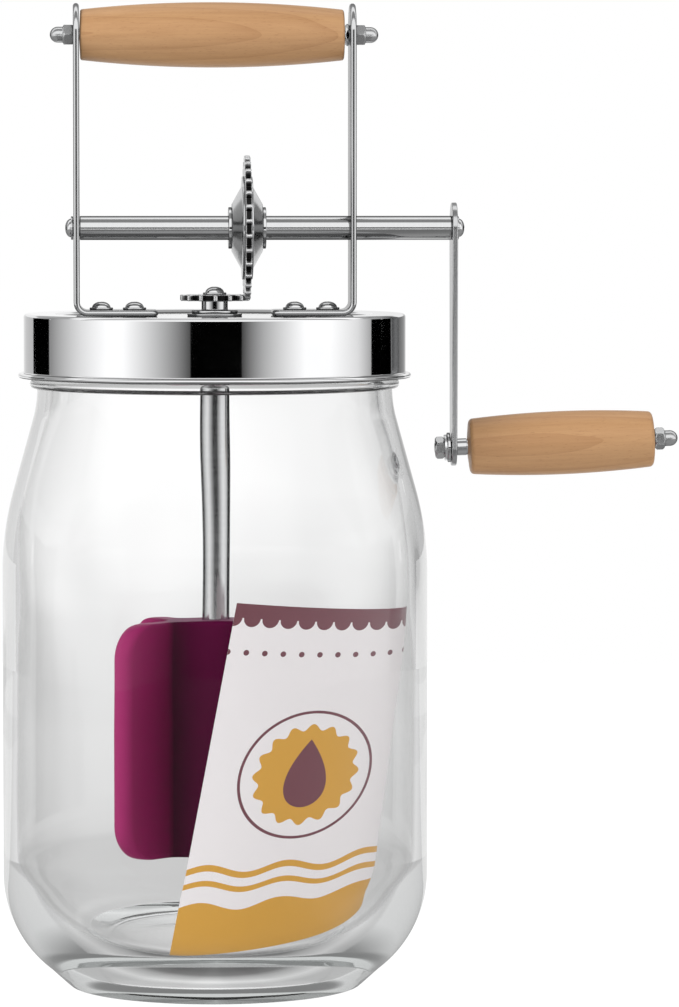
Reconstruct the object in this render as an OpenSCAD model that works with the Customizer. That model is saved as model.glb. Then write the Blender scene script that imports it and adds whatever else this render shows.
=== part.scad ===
// Hand-cranked butter churn: a glass jar whose screw lid carries a crank, a pair of
// right-angle gears and a paddle. Millimetres, +Z up. The origin is on the jar's axis, on
// the surface that the jar stands on. +X is the side of the crank, -Y is the front.

/* [Jar] */
// Outer radius of the jar's straight wall
jar_r = 77.1; // [72:0.1:84]
// Thickness of the glass wall
jar_wall = 5; // [3.5:0.5:6]
// Thickness of the glass floor
floor_t = 10.5; // [7:0.5:13]
// Radius of the rounded heel, measured outside
heel_r = 43; // [34:1:48]
// How much lower the heel's curve lies than one that would touch the ground
heel_sink = 2.1; // [1:0.1:3]
// How far the crease above the foot lies outside the centre of the heel's curve
crease_out = 26.3; // [22:0.1:30]
// How far the foot runs in below the crease
foot_in = 6.9; // [4:0.1:9]
// Rounding of the foot's outer edge
foot_edge = 1.2; // [0.5:0.1:2]
// Width of the flat ring that the jar stands on
foot_ring_w = 9; // [6:0.5:14]
// Height of the hollow under the base
punt_h = 2; // [1:0.25:3]
// Height at which the straight wall ends
wall_top_z = 150.1; // [140:0.1:160]
// Height at which the shoulder has become the neck
neck_z = 216.9; // [210:0.1:224]
// Share of the shoulder's curves that bulges outwards
shoulder_share = 0.74; // [0.6:0.005:0.85]
// Slope of the shoulder's middle, in slopes of the straight line between its ends
shoulder_slope = 1.43; // [1.2:0.01:1.9]

/* [Neck] */
// Radius of the glass under the thread
finish_r = 63.5; // [60:0.5:67]
// Thickness of the glass at the mouth
mouth_wall = 4.5; // [3.5:0.25:6]
// How far the neck below the ring stands out from the glass under the thread
neck_step = 0.8; // [0.5:0.1:2]
// How far the ring round the neck stands out
neck_ring_out = 2.5; // [1.8:0.1:3]
// Height of the ring round the neck
neck_ring_h = 3.5; // [3.2:0.1:5]
// Rounding of the ring's edges
neck_ring_edge = 1.5; // [0.8:0.1:1.6]
// Distance from the start of the neck to its ring
neck_ring_rise = 0.2; // [0.1:0.1:3]
// Gap between the neck's ring and the lid's edge
ring_gap = 0.3; // [0.2:0.1:1.5]
// How far the thread stands out
thread_h = 1.9; // [1.2:0.1:2.4]
// Distance between two turns of the thread
thread_pitch = 6; // [5:0.25:7]
// Distance from the mouth's rim down to the first turn of the thread
thread_drop = 6; // [5:0.25:7]
// Rounding of the mouth's rim
rim_edge = 1.4; // [0.8:0.1:1.8]

/* [Lid] */
// Height of the lid
lid_h = 23.1; // [20:0.1:28]
// Thickness of the lid's sheet
lid_sheet = 0.8; // [0.6:0.1:1.2]
// Rounding of the lid's upper edge
lid_edge = 1.5; // [1.4:0.1:2.5]
// Width of the raised rim on top of the lid
lid_rim_w = 11.5; // [10:0.1:13]
// Width of the slope inside the raised rim
lid_rim_slope = 1.6; // [1:0.1:2.4]
// How far the lid's panel lies below the raised rim
panel_drop = 0.8; // [0.6:0.1:1.4]
// Radial gap between the jar's thread and the lid's skirt
lid_gap = 2.9; // [2:0.1:4]
// How far the rolled lower edge stands out
roll_out = 2; // [1.4:0.1:2.4]
// Height of the rolled lower edge
roll_h = 1.8; // [1.4:0.1:2.6]
// Thickness of the sealing ring
seal_t = 1.6; // [1:0.1:2.5]
// Radial gap between the sealing ring and the rounding inside the lid
seal_gap = 0.4; // [0.3:0.1:1.5]
// How far the sealing ring stays back from the mouth
seal_inset = 0.5; // [0.3:0.1:1.5]

/* [Brackets] */
// Distance from the lid's side to a bracket's outer face
bracket_inset = 18.1; // [16.5:0.1:22]
// Thickness of the bracket strip
strip_t = 2.2; // [1.5:0.1:2.5]
// Width of the bracket strip
strip_w = 20; // [17:0.5:24]
// Outer radius of the bend at the foot
bend_r = 5; // [4:0.25:7]
// Distance from the jar's axis to the end of a foot
foot_end_x = 20.5; // [18:0.5:22]
// Rounding of the foot's corners
foot_corner = 3; // [1:0.25:5]
// Distance from the jar's axis to the inner screw of a foot
inner_screw_x = 29; // [27:0.5:30]
// Distance between the two screws of a foot
screw_pitch = 12; // [11:0.25:13]
// Height of the carrying grip's axis above the lid
handle_rise = 101.3; // [90:0.1:115]
// Distance from the carrying grip's axis to the centre of the strip's round end
strip_end_rise = 1.4; // [0:0.1:3]

/* [Fasteners] */
// Radius of the common thread
thread_r = 2; // [1.8:0.1:2.2]
// Radius of the small thread in the dasher spindle
small_thread_r = 1.5; // [1.25:0.05:1.6]
// Radial room around a thread in its hole
thread_room = 0.05; // [0.02:0.01:0.1]
// Radial room around a screw in a plain hole
hole_room = 0.15; // [0.1:0.05:0.3]
// Width across the flats of a common nut
nut_af = 7; // [6.8:0.1:7.6]
// Thickness of a common nut
nut_h = 3.2; // [2.8:0.1:3.8]
// Thickness of a thin lock nut
lock_nut_h = 1.5; // [1.2:0.1:1.8]
// Radius of a screw head's flange
flange_r = 4.25; // [3.9:0.05:4.6]
// Thickness of a screw head's flange
flange_h = 0.8; // [0.5:0.1:1]
// Radius of a screw head's dome
dome_r = 3.35; // [3:0.05:3.6]
// Height of a screw head's dome
dome_h = 2.1; // [1.6:0.1:2.5]
// Length of a cross recess
recess_l = 4; // [3:0.1:4.4]
// Width of a cross recess
recess_w = 0.9; // [0.6:0.1:1.2]
// Depth of a cross recess
recess_d = 1.2; // [0.8:0.1:1.4]
// Length of the hexagon on a dome nut
cap_hex_h = 3.4; // [3:0.1:4]
// Radius of a dome nut's dome
cap_r = 2.85; // [2.7:0.05:3.1]
// Length of a dome nut's dome
cap_h = 4.9; // [4:0.1:5.5]
// Thickness left over the thread inside a dome nut
cap_wall = 1.4; // [1:0.1:2]
// How far a screw's thread reaches past its nut
screw_past = 1.4; // [1:0.1:2]
// How far the crank pin's thread reaches past its nut
pin_past = 0.3; // [0.1:0.1:1.5]

/* [Gears] */
// Teeth of the large gear
drive_teeth = 30; // [30]
// Teeth of the small gear
driven_teeth = 14; // [14]
// Pitch diameter for each tooth
gear_module = 1.68; // [1.6:0.02:1.76]
// Height of a tooth outside the pitch circle
tooth_out = 1; // [0.8:0.05:1.1]
// Depth of a tooth inside the pitch circle
tooth_in = 1.6; // [1.5:0.05:1.9]
// Width of a tooth at its root
tooth_root_w = 2.3; // [2:0.05:2.4]
// Width of a tooth at its round tip
tooth_tip_w = 1.7; // [1.4:0.05:1.8]
// Thickness of both gears
gear_t = 2.2; // [1.8:0.1:2.3]
// Radius of the rim of a gear dish
dish_rim_r = 18.7; // [17:0.1:20]
// Thickness of the rim of a gear dish
dish_rim_t = 0.8; // [0.6:0.1:1]
// Radius at which a gear dish starts to rise
dish_foot_r = 15.2; // [13:0.1:16]
// Radius at which a gear dish ends
dish_top_r = 9; // [8.5:0.1:10]
// Height of a gear dish above its rim
dish_h = 3.7; // [3:0.1:4.5]
// Radius of a shaft collar
collar_r = 7.5; // [6.5:0.1:8]
// Thickness of a shaft collar
collar_t = 1.2; // [1:0.1:1.6]

/* [Crank] */
// Radius of the crank shaft
shaft_r = 4.35; // [4:0.05:4.8]
// Radius of the shaft's journal in the left bracket
journal_r = 3; // [2.8:0.05:3.2]
// Radial room of a shaft that runs in a hole
run_room = 0.05; // [0.03:0.01:0.08]
// End play of the crank shaft
end_play = 0.1; // [0.05:0.05:0.3]
// Side of the square on the shaft's right end
shaft_square = 5.6; // [5.2:0.1:5.8]
// Gap between the jar's wall and the crank arm
arm_clear = 8.7; // [8.5:0.1:14]
// Thickness of the crank arm
arm_t = 1.9; // [1.5:0.1:2.4]
// Width of the crank arm at the shaft
arm_top_w = 18.4; // [15:0.2:20]
// Width of the crank arm at the grip
arm_low_w = 13.4; // [12.4:0.2:16]
// Distance between the crank's two axes
crank_throw = 79.6; // [70:0.2:90]
// Tilt of the grip's pin
pin_tilt = 2.25; // [0:0.25:4]
// Radius of the bare stretch of the pin
pin_r = 3.05; // [2.9:0.05:3.3]
// Radius of the pin inside the grip
pin_core_r = 2.5; // [2.3:0.05:2.7]
// Length of the bare stretch of the pin
pin_bare = 3.7; // [3:0.1:6]
// Outer radius of the pin's flat washer
washer_r = 5.35; // [4.8:0.05:6]
// Thickness of the pin's flat washer
washer_t = 1.1; // [0.8:0.1:1.4]
// Outer radius of the pin's spring washer
spring_r = 4.7; // [4.3:0.05:5]
// Thickness of the pin's spring washer
spring_t = 1.1; // [0.9:0.1:1.4]
// Angle left open by the slit of the spring washer
spring_slit = 12; // [8:1:20]

/* [Grips] */
// Length of the crank grip
crank_grip_l = 68.3; // [60:0.1:76]
// Radius of the crank grip at its ends
crank_grip_end_r = 10; // [9:0.1:11]
// Radius of the crank grip at its middle
crank_grip_mid_r = 11.5; // [11.1:0.1:13]
// Radius of the carrying grip at its ends
handle_end_r = 9.1; // [8.5:0.1:10]
// Radius of the carrying grip at its middle
handle_mid_r = 11.75; // [11:0.05:13]
// Rounding of the crank grip's ends
grip_edge = 1.6; // [1:0.1:2]
// Rise of the crank grip's slightly domed ends
grip_bulge = 0.7; // [0.3:0.1:1]
// Rounding of the carrying grip's ends
handle_edge = 0.9; // [0.5:0.1:1.6]
// Rise of the carrying grip's almost flat ends
handle_bulge = 0.3; // [0.1:0.1:0.8]
// Gap between a grip and what stops it at its ends
grip_gap = 0.2; // [0.1:0.05:0.4]

/* [Dasher] */
// Radius of the dasher spindle below the lid
spindle_r = 5.3; // [4.5:0.1:5.4]
// Radius of the spindle in its bush
spindle_neck_r = 3.5; // [3.3:0.05:3.7]
// Side of the square under the small gear
spindle_square = 4.8; // [4.6:0.05:4.8]
// Outer radius of the bush's sleeve above the lid
sleeve_r = 4.75; // [4.6:0.05:5]
// Height of the bush's sleeve above its head
sleeve_h = 3.3; // [2.6:0.1:4]
// Radius of the bush's head
bush_head_r = 8.35; // [8:0.05:9]
// Thickness of the bush's head
bush_head_t = 1.3; // [1:0.1:1.8]
// Radius of the bush's thread
bush_r = 7; // [6.4:0.1:7.4]
// Length of the bush below the lid
bush_drop = 10; // [8:0.5:14]
// Outer radius of the washer under the bush's head
bush_washer_r = 9.9; // [9.2:0.1:11]
// Thickness of the washer under the bush's head
bush_washer_t = 0.8; // [0.6:0.1:1.2]
// Width across the flats of the bush's nut
bush_nut_af = 19; // [18:0.5:22]
// Thickness of the bush's nut
bush_nut_h = 4; // [3:0.5:6]
// Gap between the bush and the spindle's shoulder
shoulder_gap = 0.3; // [0.2:0.1:0.5]

/* [Paddle] */
// Radius that the paddle sweeps
paddle_r = 42; // [39:0.5:48]
// Height of the paddle's lower edge
paddle_z = 47; // [40:0.5:54]
// Height of the paddle
paddle_h = 85.7; // [75:0.1:92]
// Half length of the middle web
web_half = 11.5; // [9:0.5:14]
// Thickness of the middle web
web_t = 20; // [16:0.5:22]
// Thickness of a fin
fin_t = 8; // [6:0.5:10]
// Angle of a fin from the web
fin_angle = 54; // [46:1:60]
// Rounding of a fin's upper corner
fin_top_r = 13; // [8:0.5:16]
// Rounding of a fin's lower corner
fin_low_r = 13; // [8:0.5:16]
// Turn of the paddle at rest
paddle_turn = -9; // [-15:1:15]
// Length of the spindle inside the paddle
spindle_grip = 70; // [50:1:72]
// Radius of the cross pin
cross_pin_r = 1.5; // [1.2:0.1:1.8]
// Length of the cross pin
cross_pin_l = 12; // [11:0.1:12.2]

/* [Card] */
// Thickness of the card
card_t = 0.5; // [0.4:0.1:0.8]
// Gap between the card and the glass
card_gap = 0.3; // [0.2:0.1:0.6]
// Height of the card's lower left corner
card_low_z = 17.3; // [16.5:0.1:23]
// Height of the card's upper left corner
card_top_z = 144.6; // [132:0.1:150]
// Distance of the card's lower left corner from the axis, to the right
card_low_x = -17.3; // [-20:0.1:-8]
// Distance of the card's upper left corner from the axis, to the right
card_top_x = 5.5; // [2:0.1:12]
// Width of the card's lower edge, seen from the front
card_low_w = 71.4; // [60:0.2:74]
// Width of the card's upper edge, seen from the front
card_top_w = 62.8; // [52:0.2:64]
// Rise of the card's lower edge to the right
card_low_rise = 5.8; // [0:0.2:8]
// Fall of the card's upper edge to the right
card_top_fall = 5.6; // [0:0.2:8]

/* [Hidden] */
$fn = 96;

// How far a cutting shape runs past the face that it cuts
cut = 1;
// Least room between the arm and the tilted faces beside it
tilt_least = 0.05;
// Straight pieces in a quarter turn of a turned outline, and the fewest in any arc
arc_steps = 10;
arc_least = 8;

// Heights that follow from the neck and the lid
ring_low_z = neck_z + neck_ring_rise;
ring_top_z = ring_low_z + neck_ring_h;
roll_z = ring_top_z + ring_gap;
lid_rim_z = roll_z + lid_h;
lid_top_z = lid_rim_z - panel_drop;
lid_under_z = lid_top_z - lid_sheet;
rim_z = lid_rim_z - lid_sheet - seal_t;
strip_top_z = lid_top_z + strip_t;

// Radii of the jar's foot, its inside, its mouth and its neck
heel_z = heel_r - heel_sink;
foot_r = jar_r - heel_r + crease_out - foot_in;
jar_in_r = jar_r - jar_wall;
heel_in_r = heel_r - jar_wall;
mouth_r = finish_r - mouth_wall;
neck_r = finish_r + neck_step;
lid_in_r = finish_r + thread_h + lid_gap;
lid_r = lid_in_r + lid_sheet;
lid_in_edge = lid_edge - lid_sheet;
lid_rim_in_r = lid_r - lid_rim_w;
panel_r = lid_rim_in_r - lid_rim_slope;
panel_fold = lid_sheet * tan(atan(panel_drop / lid_rim_slope) / 2);

// Bush, gears and crank axis
bush_head_z = lid_top_z + bush_washer_t;
sleeve_top_z = bush_head_z + bush_head_t + sleeve_h;
bush_low_z = lid_under_z - bush_drop;
drive_pitch_r = drive_teeth * gear_module / 2;
driven_pitch_r = driven_teeth * gear_module / 2;
shaft_z = sleeve_top_z + gear_t / 2 + drive_pitch_r;
dish_out = gear_t / 2 + dish_rim_t + dish_h;

// Brackets and carrying handle
bracket_x = lid_r - bracket_inset;
bracket_in_x = bracket_x - strip_t;
handle_z = lid_top_z + handle_rise;
lock_nut_x = bracket_in_x - lock_nut_h;
handle_left_x = -bracket_in_x + end_play + handle_bulge;
handle_right_x = lock_nut_x - grip_gap - handle_bulge;
rod_end_x = bracket_x + cap_hex_h + cap_h - cap_wall;

// Crank arm and pin; the pin's places are counted from the arm's middle
arm_x = jar_r + arm_clear;
arm_mid_x = arm_x + arm_t / 2;
pin_z = shaft_z - crank_throw;
tilt_room = washer_r * tan(pin_tilt) + tilt_least;
pin_shoulder = arm_t / 2 + pin_r * tan(pin_tilt) + tilt_least;
washer_u = -arm_t / 2 - tilt_room - washer_t;
spring_u = washer_u - spring_t;
pin_nut_u = spring_u - nut_h;
crank_grip_u = pin_shoulder + pin_bare + grip_gap;
pin_end_u = crank_grip_u + crank_grip_l + grip_gap;
pin_tip_u = pin_end_u + cap_hex_h + cap_h - cap_wall;

// Screws
screw_xs = [for (side = [-1, 1]) for (k = [0, 1]) side * (inner_screw_x + k * screw_pitch)];
bracket_screw_l = strip_t + lid_sheet + nut_h + screw_past;
screw_depth = 10;

// Colours of the materials
glass_c = [0.85, 0.9, 0.92, 0.35];
steel_c = [0.78, 0.79, 0.8];
chrome_c = [0.88, 0.89, 0.9];
wood_c = [0.8, 0.62, 0.42];
wine_c = [0.4, 0.08, 0.27];
paper_c = [0.92, 0.91, 0.9];
seal_c = [0.93, 0.93, 0.91];

// Points of an arc, with as many straight pieces as its angle needs
function arc(c, r, a0, a1) =
    let (n = max(arc_least, ceil(abs(a1 - a0) / 90 * arc_steps)))
    [for (i = [0:n]) c + r * [cos(a0 + (a1 - a0) * i / n), sin(a0 + (a1 - a0) * i / n)]];

// Curve of a shoulder: it bulges out of a wall, slopes and hollows into a neck, tangent to both
function shoulder(wall, neck, z0, z1) =
    let (a = shoulder_slope * atan((wall - neck) / (z1 - z0)),
         sum = ((z1 - z0) * tan(a) - wall + neck) / (1 / cos(a) - 1),
         r1 = sum * shoulder_share,
         r2 = sum - r1)
    concat(arc([wall - r1, z0], r1, 0, a), arc([neck + r2, z1], r2, 180 + a, 180));

// Radius of the heel's inside
function heel_in(z) =
    let (rise = max(0, floor_t + heel_in_r - z))
    jar_in_r - heel_in_r + sqrt(heel_in_r ^ 2 - rise ^ 2);

// Places a shape that was made along +Z along +X, on an axis at height z
module along_x(x, z = shaft_z) {
    translate([x, 0, z]) rotate([0, 90, 0]) children();
}

// Places a shape that was made along +Z on the tilted axis of the grip's pin
module on_pin(u) {
    translate([arm_mid_x, 0, pin_z]) rotate([0, 90 - pin_tilt, 0]) translate([0, 0, u]) children();
}

module ring(outer, inner, h) {
    difference() {
        cylinder(h = h, r = outer);
        translate([0, 0, -cut]) cylinder(h = h + 2 * cut, r = inner);
    }
}

module hexagon(af, h) {
    cylinder(h = h, r = af / 2 / cos(30), $fn = 6);
}

module nut(af, h, bore) {
    difference() {
        hexagon(af, h);
        translate([0, 0, -cut]) cylinder(h = h + 2 * cut, r = bore);
    }
}

module dome_nut() {
    tip = cap_hex_h + cap_h;
    difference() {
        union() {
            hexagon(nut_af, cap_hex_h);
            rotate_extrude() polygon(concat(
                [[0, 0], [cap_r, 0]],
                arc([0, tip - cap_r], cap_r, 0, 90)));
        }
        translate([0, 0, -cut]) cylinder(h = tip - cap_wall + cut, r = thread_r + thread_room);
    }
}

// Flanged pan-head screw whose head stands on z = 0 and whose thread points down
module pan_screw(r, l) {
    bow = (dome_r ^ 2 + dome_h ^ 2) / (2 * dome_h);
    bow_a = asin((bow - dome_h) / bow);
    difference() {
        union() {
            translate([0, 0, -l]) cylinder(h = l, r = r);
            cylinder(h = flange_h, r = flange_r);
            translate([0, 0, flange_h]) rotate_extrude() polygon(concat(
                [[0, -flange_h / 2], [dome_r, -flange_h / 2]],
                arc([0, dome_h - bow], bow, bow_a, 90)));
        }
        for (turn = [0, 90])
            rotate([0, 0, turn])
                translate([-recess_l / 2, -recess_w / 2, flange_h + dome_h - recess_d])
                    cube([recess_l, recess_w, recess_d + cut]);
    }
}

// Turned grip along +Z with a bore, a swelling middle and slightly domed ends
module turned_grip(l, end_r, mid_r, bore, edge, bulge) {
    swell = mid_r - end_r;
    bow = ((l / 2) ^ 2 + swell ^ 2) / (2 * swell);
    bow_a = asin((l / 2 - edge) / bow);
    side = arc([mid_r - bow, l / 2], bow, -bow_a, bow_a);
    edge_r = side[0][0] - edge;
    rotate_extrude() polygon(concat(
        [[bore, l + bulge], [bore, -bulge]],
        arc([edge_r, edge], edge, 270, 360 - bow_a),
        side,
        arc([edge_r, l - edge], edge, bow_a, 90)));
}

module gear_outline(teeth, pitch_r, first) {
    root_r = pitch_r - tooth_in;
    round_x = pitch_r + tooth_out - tooth_tip_w / 2;
    circle(r = root_r);
    for (k = [0:teeth - 1])
        rotate(first + k * 360 / teeth) {
            polygon([
                [root_r - tooth_root_w / 2, -tooth_root_w / 2], [round_x, -tooth_tip_w / 2],
                [round_x, tooth_tip_w / 2], [root_r - tooth_root_w / 2, tooth_root_w / 2]]);
            translate([round_x, 0]) circle(d = tooth_tip_w);
        }
}

module glass_jar() {
    ring_in_r = foot_r - foot_edge - foot_ring_w;
    heel_a = acos(crease_out / heel_r);
    foot_a = atan2(heel_z - heel_r * sin(heel_a), foot_in);
    ring_edge_r = neck_r + neck_ring_out - neck_ring_edge;
    outer = concat(
        [[0, punt_h], [ring_in_r, 0]],
        arc([foot_r - foot_edge, foot_edge], foot_edge, -90, foot_a - 90),
        arc([jar_r - heel_r, heel_z], heel_r, -heel_a, 0),
        shoulder(jar_r, neck_r, wall_top_z, neck_z),
        [[neck_r, ring_low_z]],
        arc([ring_edge_r, ring_low_z + neck_ring_edge], neck_ring_edge, -90, 0),
        arc([ring_edge_r, ring_top_z - neck_ring_edge], neck_ring_edge, 0, 90),
        [[finish_r, ring_top_z]],
        arc([finish_r - rim_edge, rim_z - rim_edge], rim_edge, 0, 90));
    inner = concat(
        arc([mouth_r + rim_edge, rim_z - rim_edge], rim_edge, 90, 180),
        [for (p = [1:len(shoulder(jar_in_r, mouth_r, wall_top_z, neck_z))])
            let (curve = shoulder(jar_in_r, mouth_r, wall_top_z, neck_z)) curve[len(curve) - p]],
        arc([jar_in_r - heel_in_r, floor_t + heel_in_r], heel_in_r, 0, -90),
        [[0, floor_t]]);
    color(glass_c) {
        rotate_extrude() polygon(concat(outer, inner));
        for (turn = [0, 1])
            translate([0, 0, rim_z - thread_drop - turn * thread_pitch])
                rotate_extrude() polygon(concat(
                    [[finish_r - cut, -thread_h]],
                    arc([finish_r, 0], thread_h, -90, 90),
                    [[finish_r - cut, thread_h]]));
    }
}

// A thin sheet that leans outwards, with its foot in the jar's heel and its head at the wall
module recipe_card() {
    low_r = heel_in(card_low_z) - card_gap;
    top_r = jar_in_r - card_gap;
    color(paper_c)
        intersection() {
            rotate_extrude() polygon([
                [low_r, card_low_z], [top_r, card_top_z],
                [top_r - card_t, card_top_z], [low_r - card_t, card_low_z]]);
            rotate([90, 0, 0]) linear_extrude(height = jar_r) polygon([
                [card_low_x, card_low_z], [card_low_x + card_low_w, card_low_z + card_low_rise],
                [card_top_x + card_top_w, card_top_z - card_top_fall], [card_top_x, card_top_z]]);
        }
}

module lid_seal() {
    color(seal_c)
        translate([0, 0, rim_z])
            ring(lid_in_r - lid_in_edge - seal_gap, mouth_r + seal_inset, seal_t);
}

module lid_cap() {
    color(chrome_c)
        difference() {
            rotate_extrude() polygon(concat(
                [[0, lid_under_z], [panel_r + panel_fold, lid_under_z],
                 [lid_rim_in_r + panel_fold, lid_rim_z - lid_sheet]],
                arc([lid_in_r - lid_in_edge, lid_rim_z - lid_sheet - lid_in_edge],
                    lid_in_edge, 90, 0),
                [[lid_in_r, roll_z], [lid_r, roll_z]],
                arc([lid_r + roll_out - roll_h / 2, roll_z + roll_h / 2], roll_h / 2, -90, 90),
                [[lid_r, roll_z + roll_h]],
                arc([lid_r - lid_edge, lid_rim_z - lid_edge], lid_edge, 0, 90),
                [[lid_rim_in_r, lid_rim_z], [panel_r, lid_top_z], [0, lid_top_z]]));
            translate([0, 0, lid_under_z - cut])
                cylinder(h = lid_sheet + 2 * cut, r = bush_r + hole_room);
            for (x = screw_xs)
                translate([x, 0, lid_under_z - cut])
                    cylinder(h = lid_sheet + 2 * cut, r = thread_r + hole_room);
        }
}

// Bent strip on the +X side: foot on the lid, upright with a round end
module bracket(shaft_hole) {
    end_z = handle_z + strip_end_rise;
    top_z = end_z + strip_w / 2;
    bend_c = [bracket_x - bend_r, lid_top_z + bend_r];
    difference() {
        intersection() {
            translate([0, strip_w / 2, 0]) rotate([90, 0, 0])
                linear_extrude(height = strip_w) polygon(concat(
                    [[foot_end_x, lid_top_z]],
                    arc(bend_c, bend_r, -90, 0),
                    [[bracket_x, top_z], [bracket_in_x, top_z]],
                    arc(bend_c, bend_r - strip_t, 0, -90),
                    [[foot_end_x, strip_top_z]]));
            along_x(0, 0) linear_extrude(height = bracket_x + cut) {
                translate([-end_z, -strip_w / 2]) square([end_z, strip_w]);
                translate([-end_z, 0]) circle(d = strip_w);
            }
            linear_extrude(height = top_z + cut) {
                translate([foot_end_x + foot_corner, -strip_w / 2]) square([bracket_x, strip_w]);
                translate([foot_end_x, foot_corner - strip_w / 2])
                    square([bracket_x, strip_w - 2 * foot_corner]);
                for (side = [-1, 1])
                    translate([foot_end_x + foot_corner, side * (strip_w / 2 - foot_corner)])
                        circle(r = foot_corner);
            }
        }
        along_x(bracket_in_x - cut) cylinder(h = strip_t + 2 * cut, r = shaft_hole);
        along_x(bracket_in_x - cut, handle_z)
            cylinder(h = strip_t + 2 * cut, r = thread_r + hole_room);
        for (k = [0, 1])
            translate([inner_screw_x + k * screw_pitch, 0, lid_top_z - cut])
                cylinder(h = strip_t + 2 * cut, r = thread_r + hole_room);
    }
}

module left_bracket() {
    color(steel_c) mirror([1, 0, 0]) bracket(journal_r + run_room);
}

module right_bracket() {
    color(steel_c) bracket(shaft_r + run_room);
}

module bracket_screws() {
    color(steel_c)
        for (x = screw_xs)
            translate([x, 0, strip_top_z]) pan_screw(thread_r, bracket_screw_l);
}

module bracket_nuts() {
    color(steel_c)
        for (x = screw_xs)
            translate([x, 0, lid_under_z - nut_h]) nut(nut_af, nut_h, thread_r + thread_room);
}

module lid_bush() {
    color(steel_c)
        difference() {
            union() {
                translate([0, 0, bush_low_z]) cylinder(h = bush_head_z - bush_low_z, r = bush_r);
                translate([0, 0, bush_head_z]) cylinder(h = bush_head_t, r = bush_head_r);
                translate([0, 0, bush_head_z]) cylinder(h = bush_head_t + sleeve_h, r = sleeve_r);
            }
            translate([0, 0, bush_low_z - cut])
                cylinder(h = sleeve_top_z - bush_low_z + 2 * cut, r = spindle_neck_r + run_room);
        }
}

module bush_washer() {
    color(steel_c)
        translate([0, 0, lid_top_z]) ring(bush_washer_r, bush_r + hole_room, bush_washer_t);
}

module bush_nut() {
    color(steel_c)
        translate([0, 0, lid_under_z - bush_nut_h])
            nut(bush_nut_af, bush_nut_h, bush_r + thread_room);
}

module handle_grip() {
    color(wood_c)
        along_x(handle_left_x, handle_z)
            turned_grip(handle_right_x - handle_left_x, handle_end_r, handle_mid_r,
                        thread_r + run_room, handle_edge, handle_bulge);
}

module handle_rod() {
    color(steel_c)
        along_x(-rod_end_x + thread_room, handle_z)
            cylinder(h = 2 * (rod_end_x - thread_room), r = thread_r);
}

module left_handle_dome_nut() {
    color(steel_c) mirror([1, 0, 0]) along_x(bracket_x, handle_z) rotate([0, 0, 30]) dome_nut();
}

module right_handle_dome_nut() {
    color(steel_c) along_x(bracket_x, handle_z) rotate([0, 0, 30]) dome_nut();
}

module handle_lock_nut() {
    color(steel_c) along_x(lock_nut_x, handle_z) nut(nut_af, lock_nut_h, thread_r + thread_room);
}

// Shaft with a journal at its left end, a square at its right end and a tapped hole in each
module crank_shaft() {
    journal_x = -bracket_x - end_play;
    body_x = -bracket_in_x + end_play;
    square_end = arm_x + arm_t - end_play;
    color(steel_c)
        difference() {
            union() {
                along_x(journal_x) cylinder(h = body_x - journal_x, r = journal_r);
                along_x(body_x) cylinder(h = arm_x - body_x, r = shaft_r);
                along_x(arm_x - cut)
                    translate([-shaft_square / 2, -shaft_square / 2, 0])
                        cube([shaft_square, shaft_square, square_end - arm_x + cut]);
            }
            along_x(journal_x - cut) cylinder(h = screw_depth + 2 * cut, r = thread_r + thread_room);
            along_x(square_end - screw_depth - cut)
                cylinder(h = screw_depth + 2 * cut, r = thread_r + thread_room);
        }
}

module drive_gear() {
    color(steel_c)
        along_x(driven_pitch_r - gear_t / 2)
            difference() {
                linear_extrude(height = gear_t) gear_outline(drive_teeth, drive_pitch_r, 0);
                translate([0, 0, -cut]) cylinder(h = gear_t + 2 * cut, r = shaft_r + thread_room);
            }
}

// Dished plate with its rim on z = 0
module gear_dish() {
    bore = shaft_r + thread_room;
    rotate_extrude() polygon([
        [bore, 0], [dish_rim_r, 0], [dish_rim_r, dish_rim_t], [dish_foot_r, dish_rim_t],
        [dish_top_r, dish_rim_t + dish_h], [bore, dish_rim_t + dish_h]]);
}

module left_gear_dish() {
    color(steel_c)
        along_x(driven_pitch_r - gear_t / 2) mirror([0, 0, 1]) gear_dish();
}

module right_gear_dish() {
    color(steel_c) along_x(driven_pitch_r + gear_t / 2) gear_dish();
}

module left_shaft_collar() {
    color(steel_c)
        along_x(driven_pitch_r - dish_out - collar_t)
            ring(collar_r, shaft_r + thread_room, collar_t);
}

module right_shaft_collar() {
    color(steel_c)
        along_x(driven_pitch_r + dish_out) ring(collar_r, shaft_r + thread_room, collar_t);
}

module shaft_end_screw() {
    color(steel_c)
        mirror([1, 0, 0]) along_x(bracket_x + end_play) pan_screw(thread_r, screw_depth);
}

module crank_arm() {
    hole = shaft_square + 2 * thread_room;
    color(steel_c)
        difference() {
            along_x(arm_x) linear_extrude(height = arm_t) hull() {
                circle(d = arm_top_w);
                translate([crank_throw, 0]) circle(d = arm_low_w);
            }
            along_x(arm_x - cut)
                translate([-hole / 2, -hole / 2, 0]) cube([hole, hole, arm_t + 2 * cut]);
            on_pin(-arm_t - cut) cylinder(h = 2 * (arm_t + cut), r = thread_r + hole_room);
        }
}

module crank_arm_screw() {
    color(steel_c) along_x(arm_x + arm_t) pan_screw(thread_r, screw_depth);
}

// Stepped pin: thread through the arm, bare stretch, core of the grip, thread of the dome nut
module crank_pin() {
    color(steel_c)
        on_pin(0) {
            translate([0, 0, pin_nut_u - pin_past])
                cylinder(h = pin_tip_u - thread_room - pin_nut_u + pin_past, r = thread_r);
            translate([0, 0, pin_shoulder]) cylinder(h = pin_bare, r = pin_r);
            translate([0, 0, pin_shoulder]) cylinder(h = pin_end_u - pin_shoulder, r = pin_core_r);
        }
}

module pin_washer() {
    color(steel_c) on_pin(washer_u) ring(washer_r, thread_r + hole_room, washer_t);
}

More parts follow.
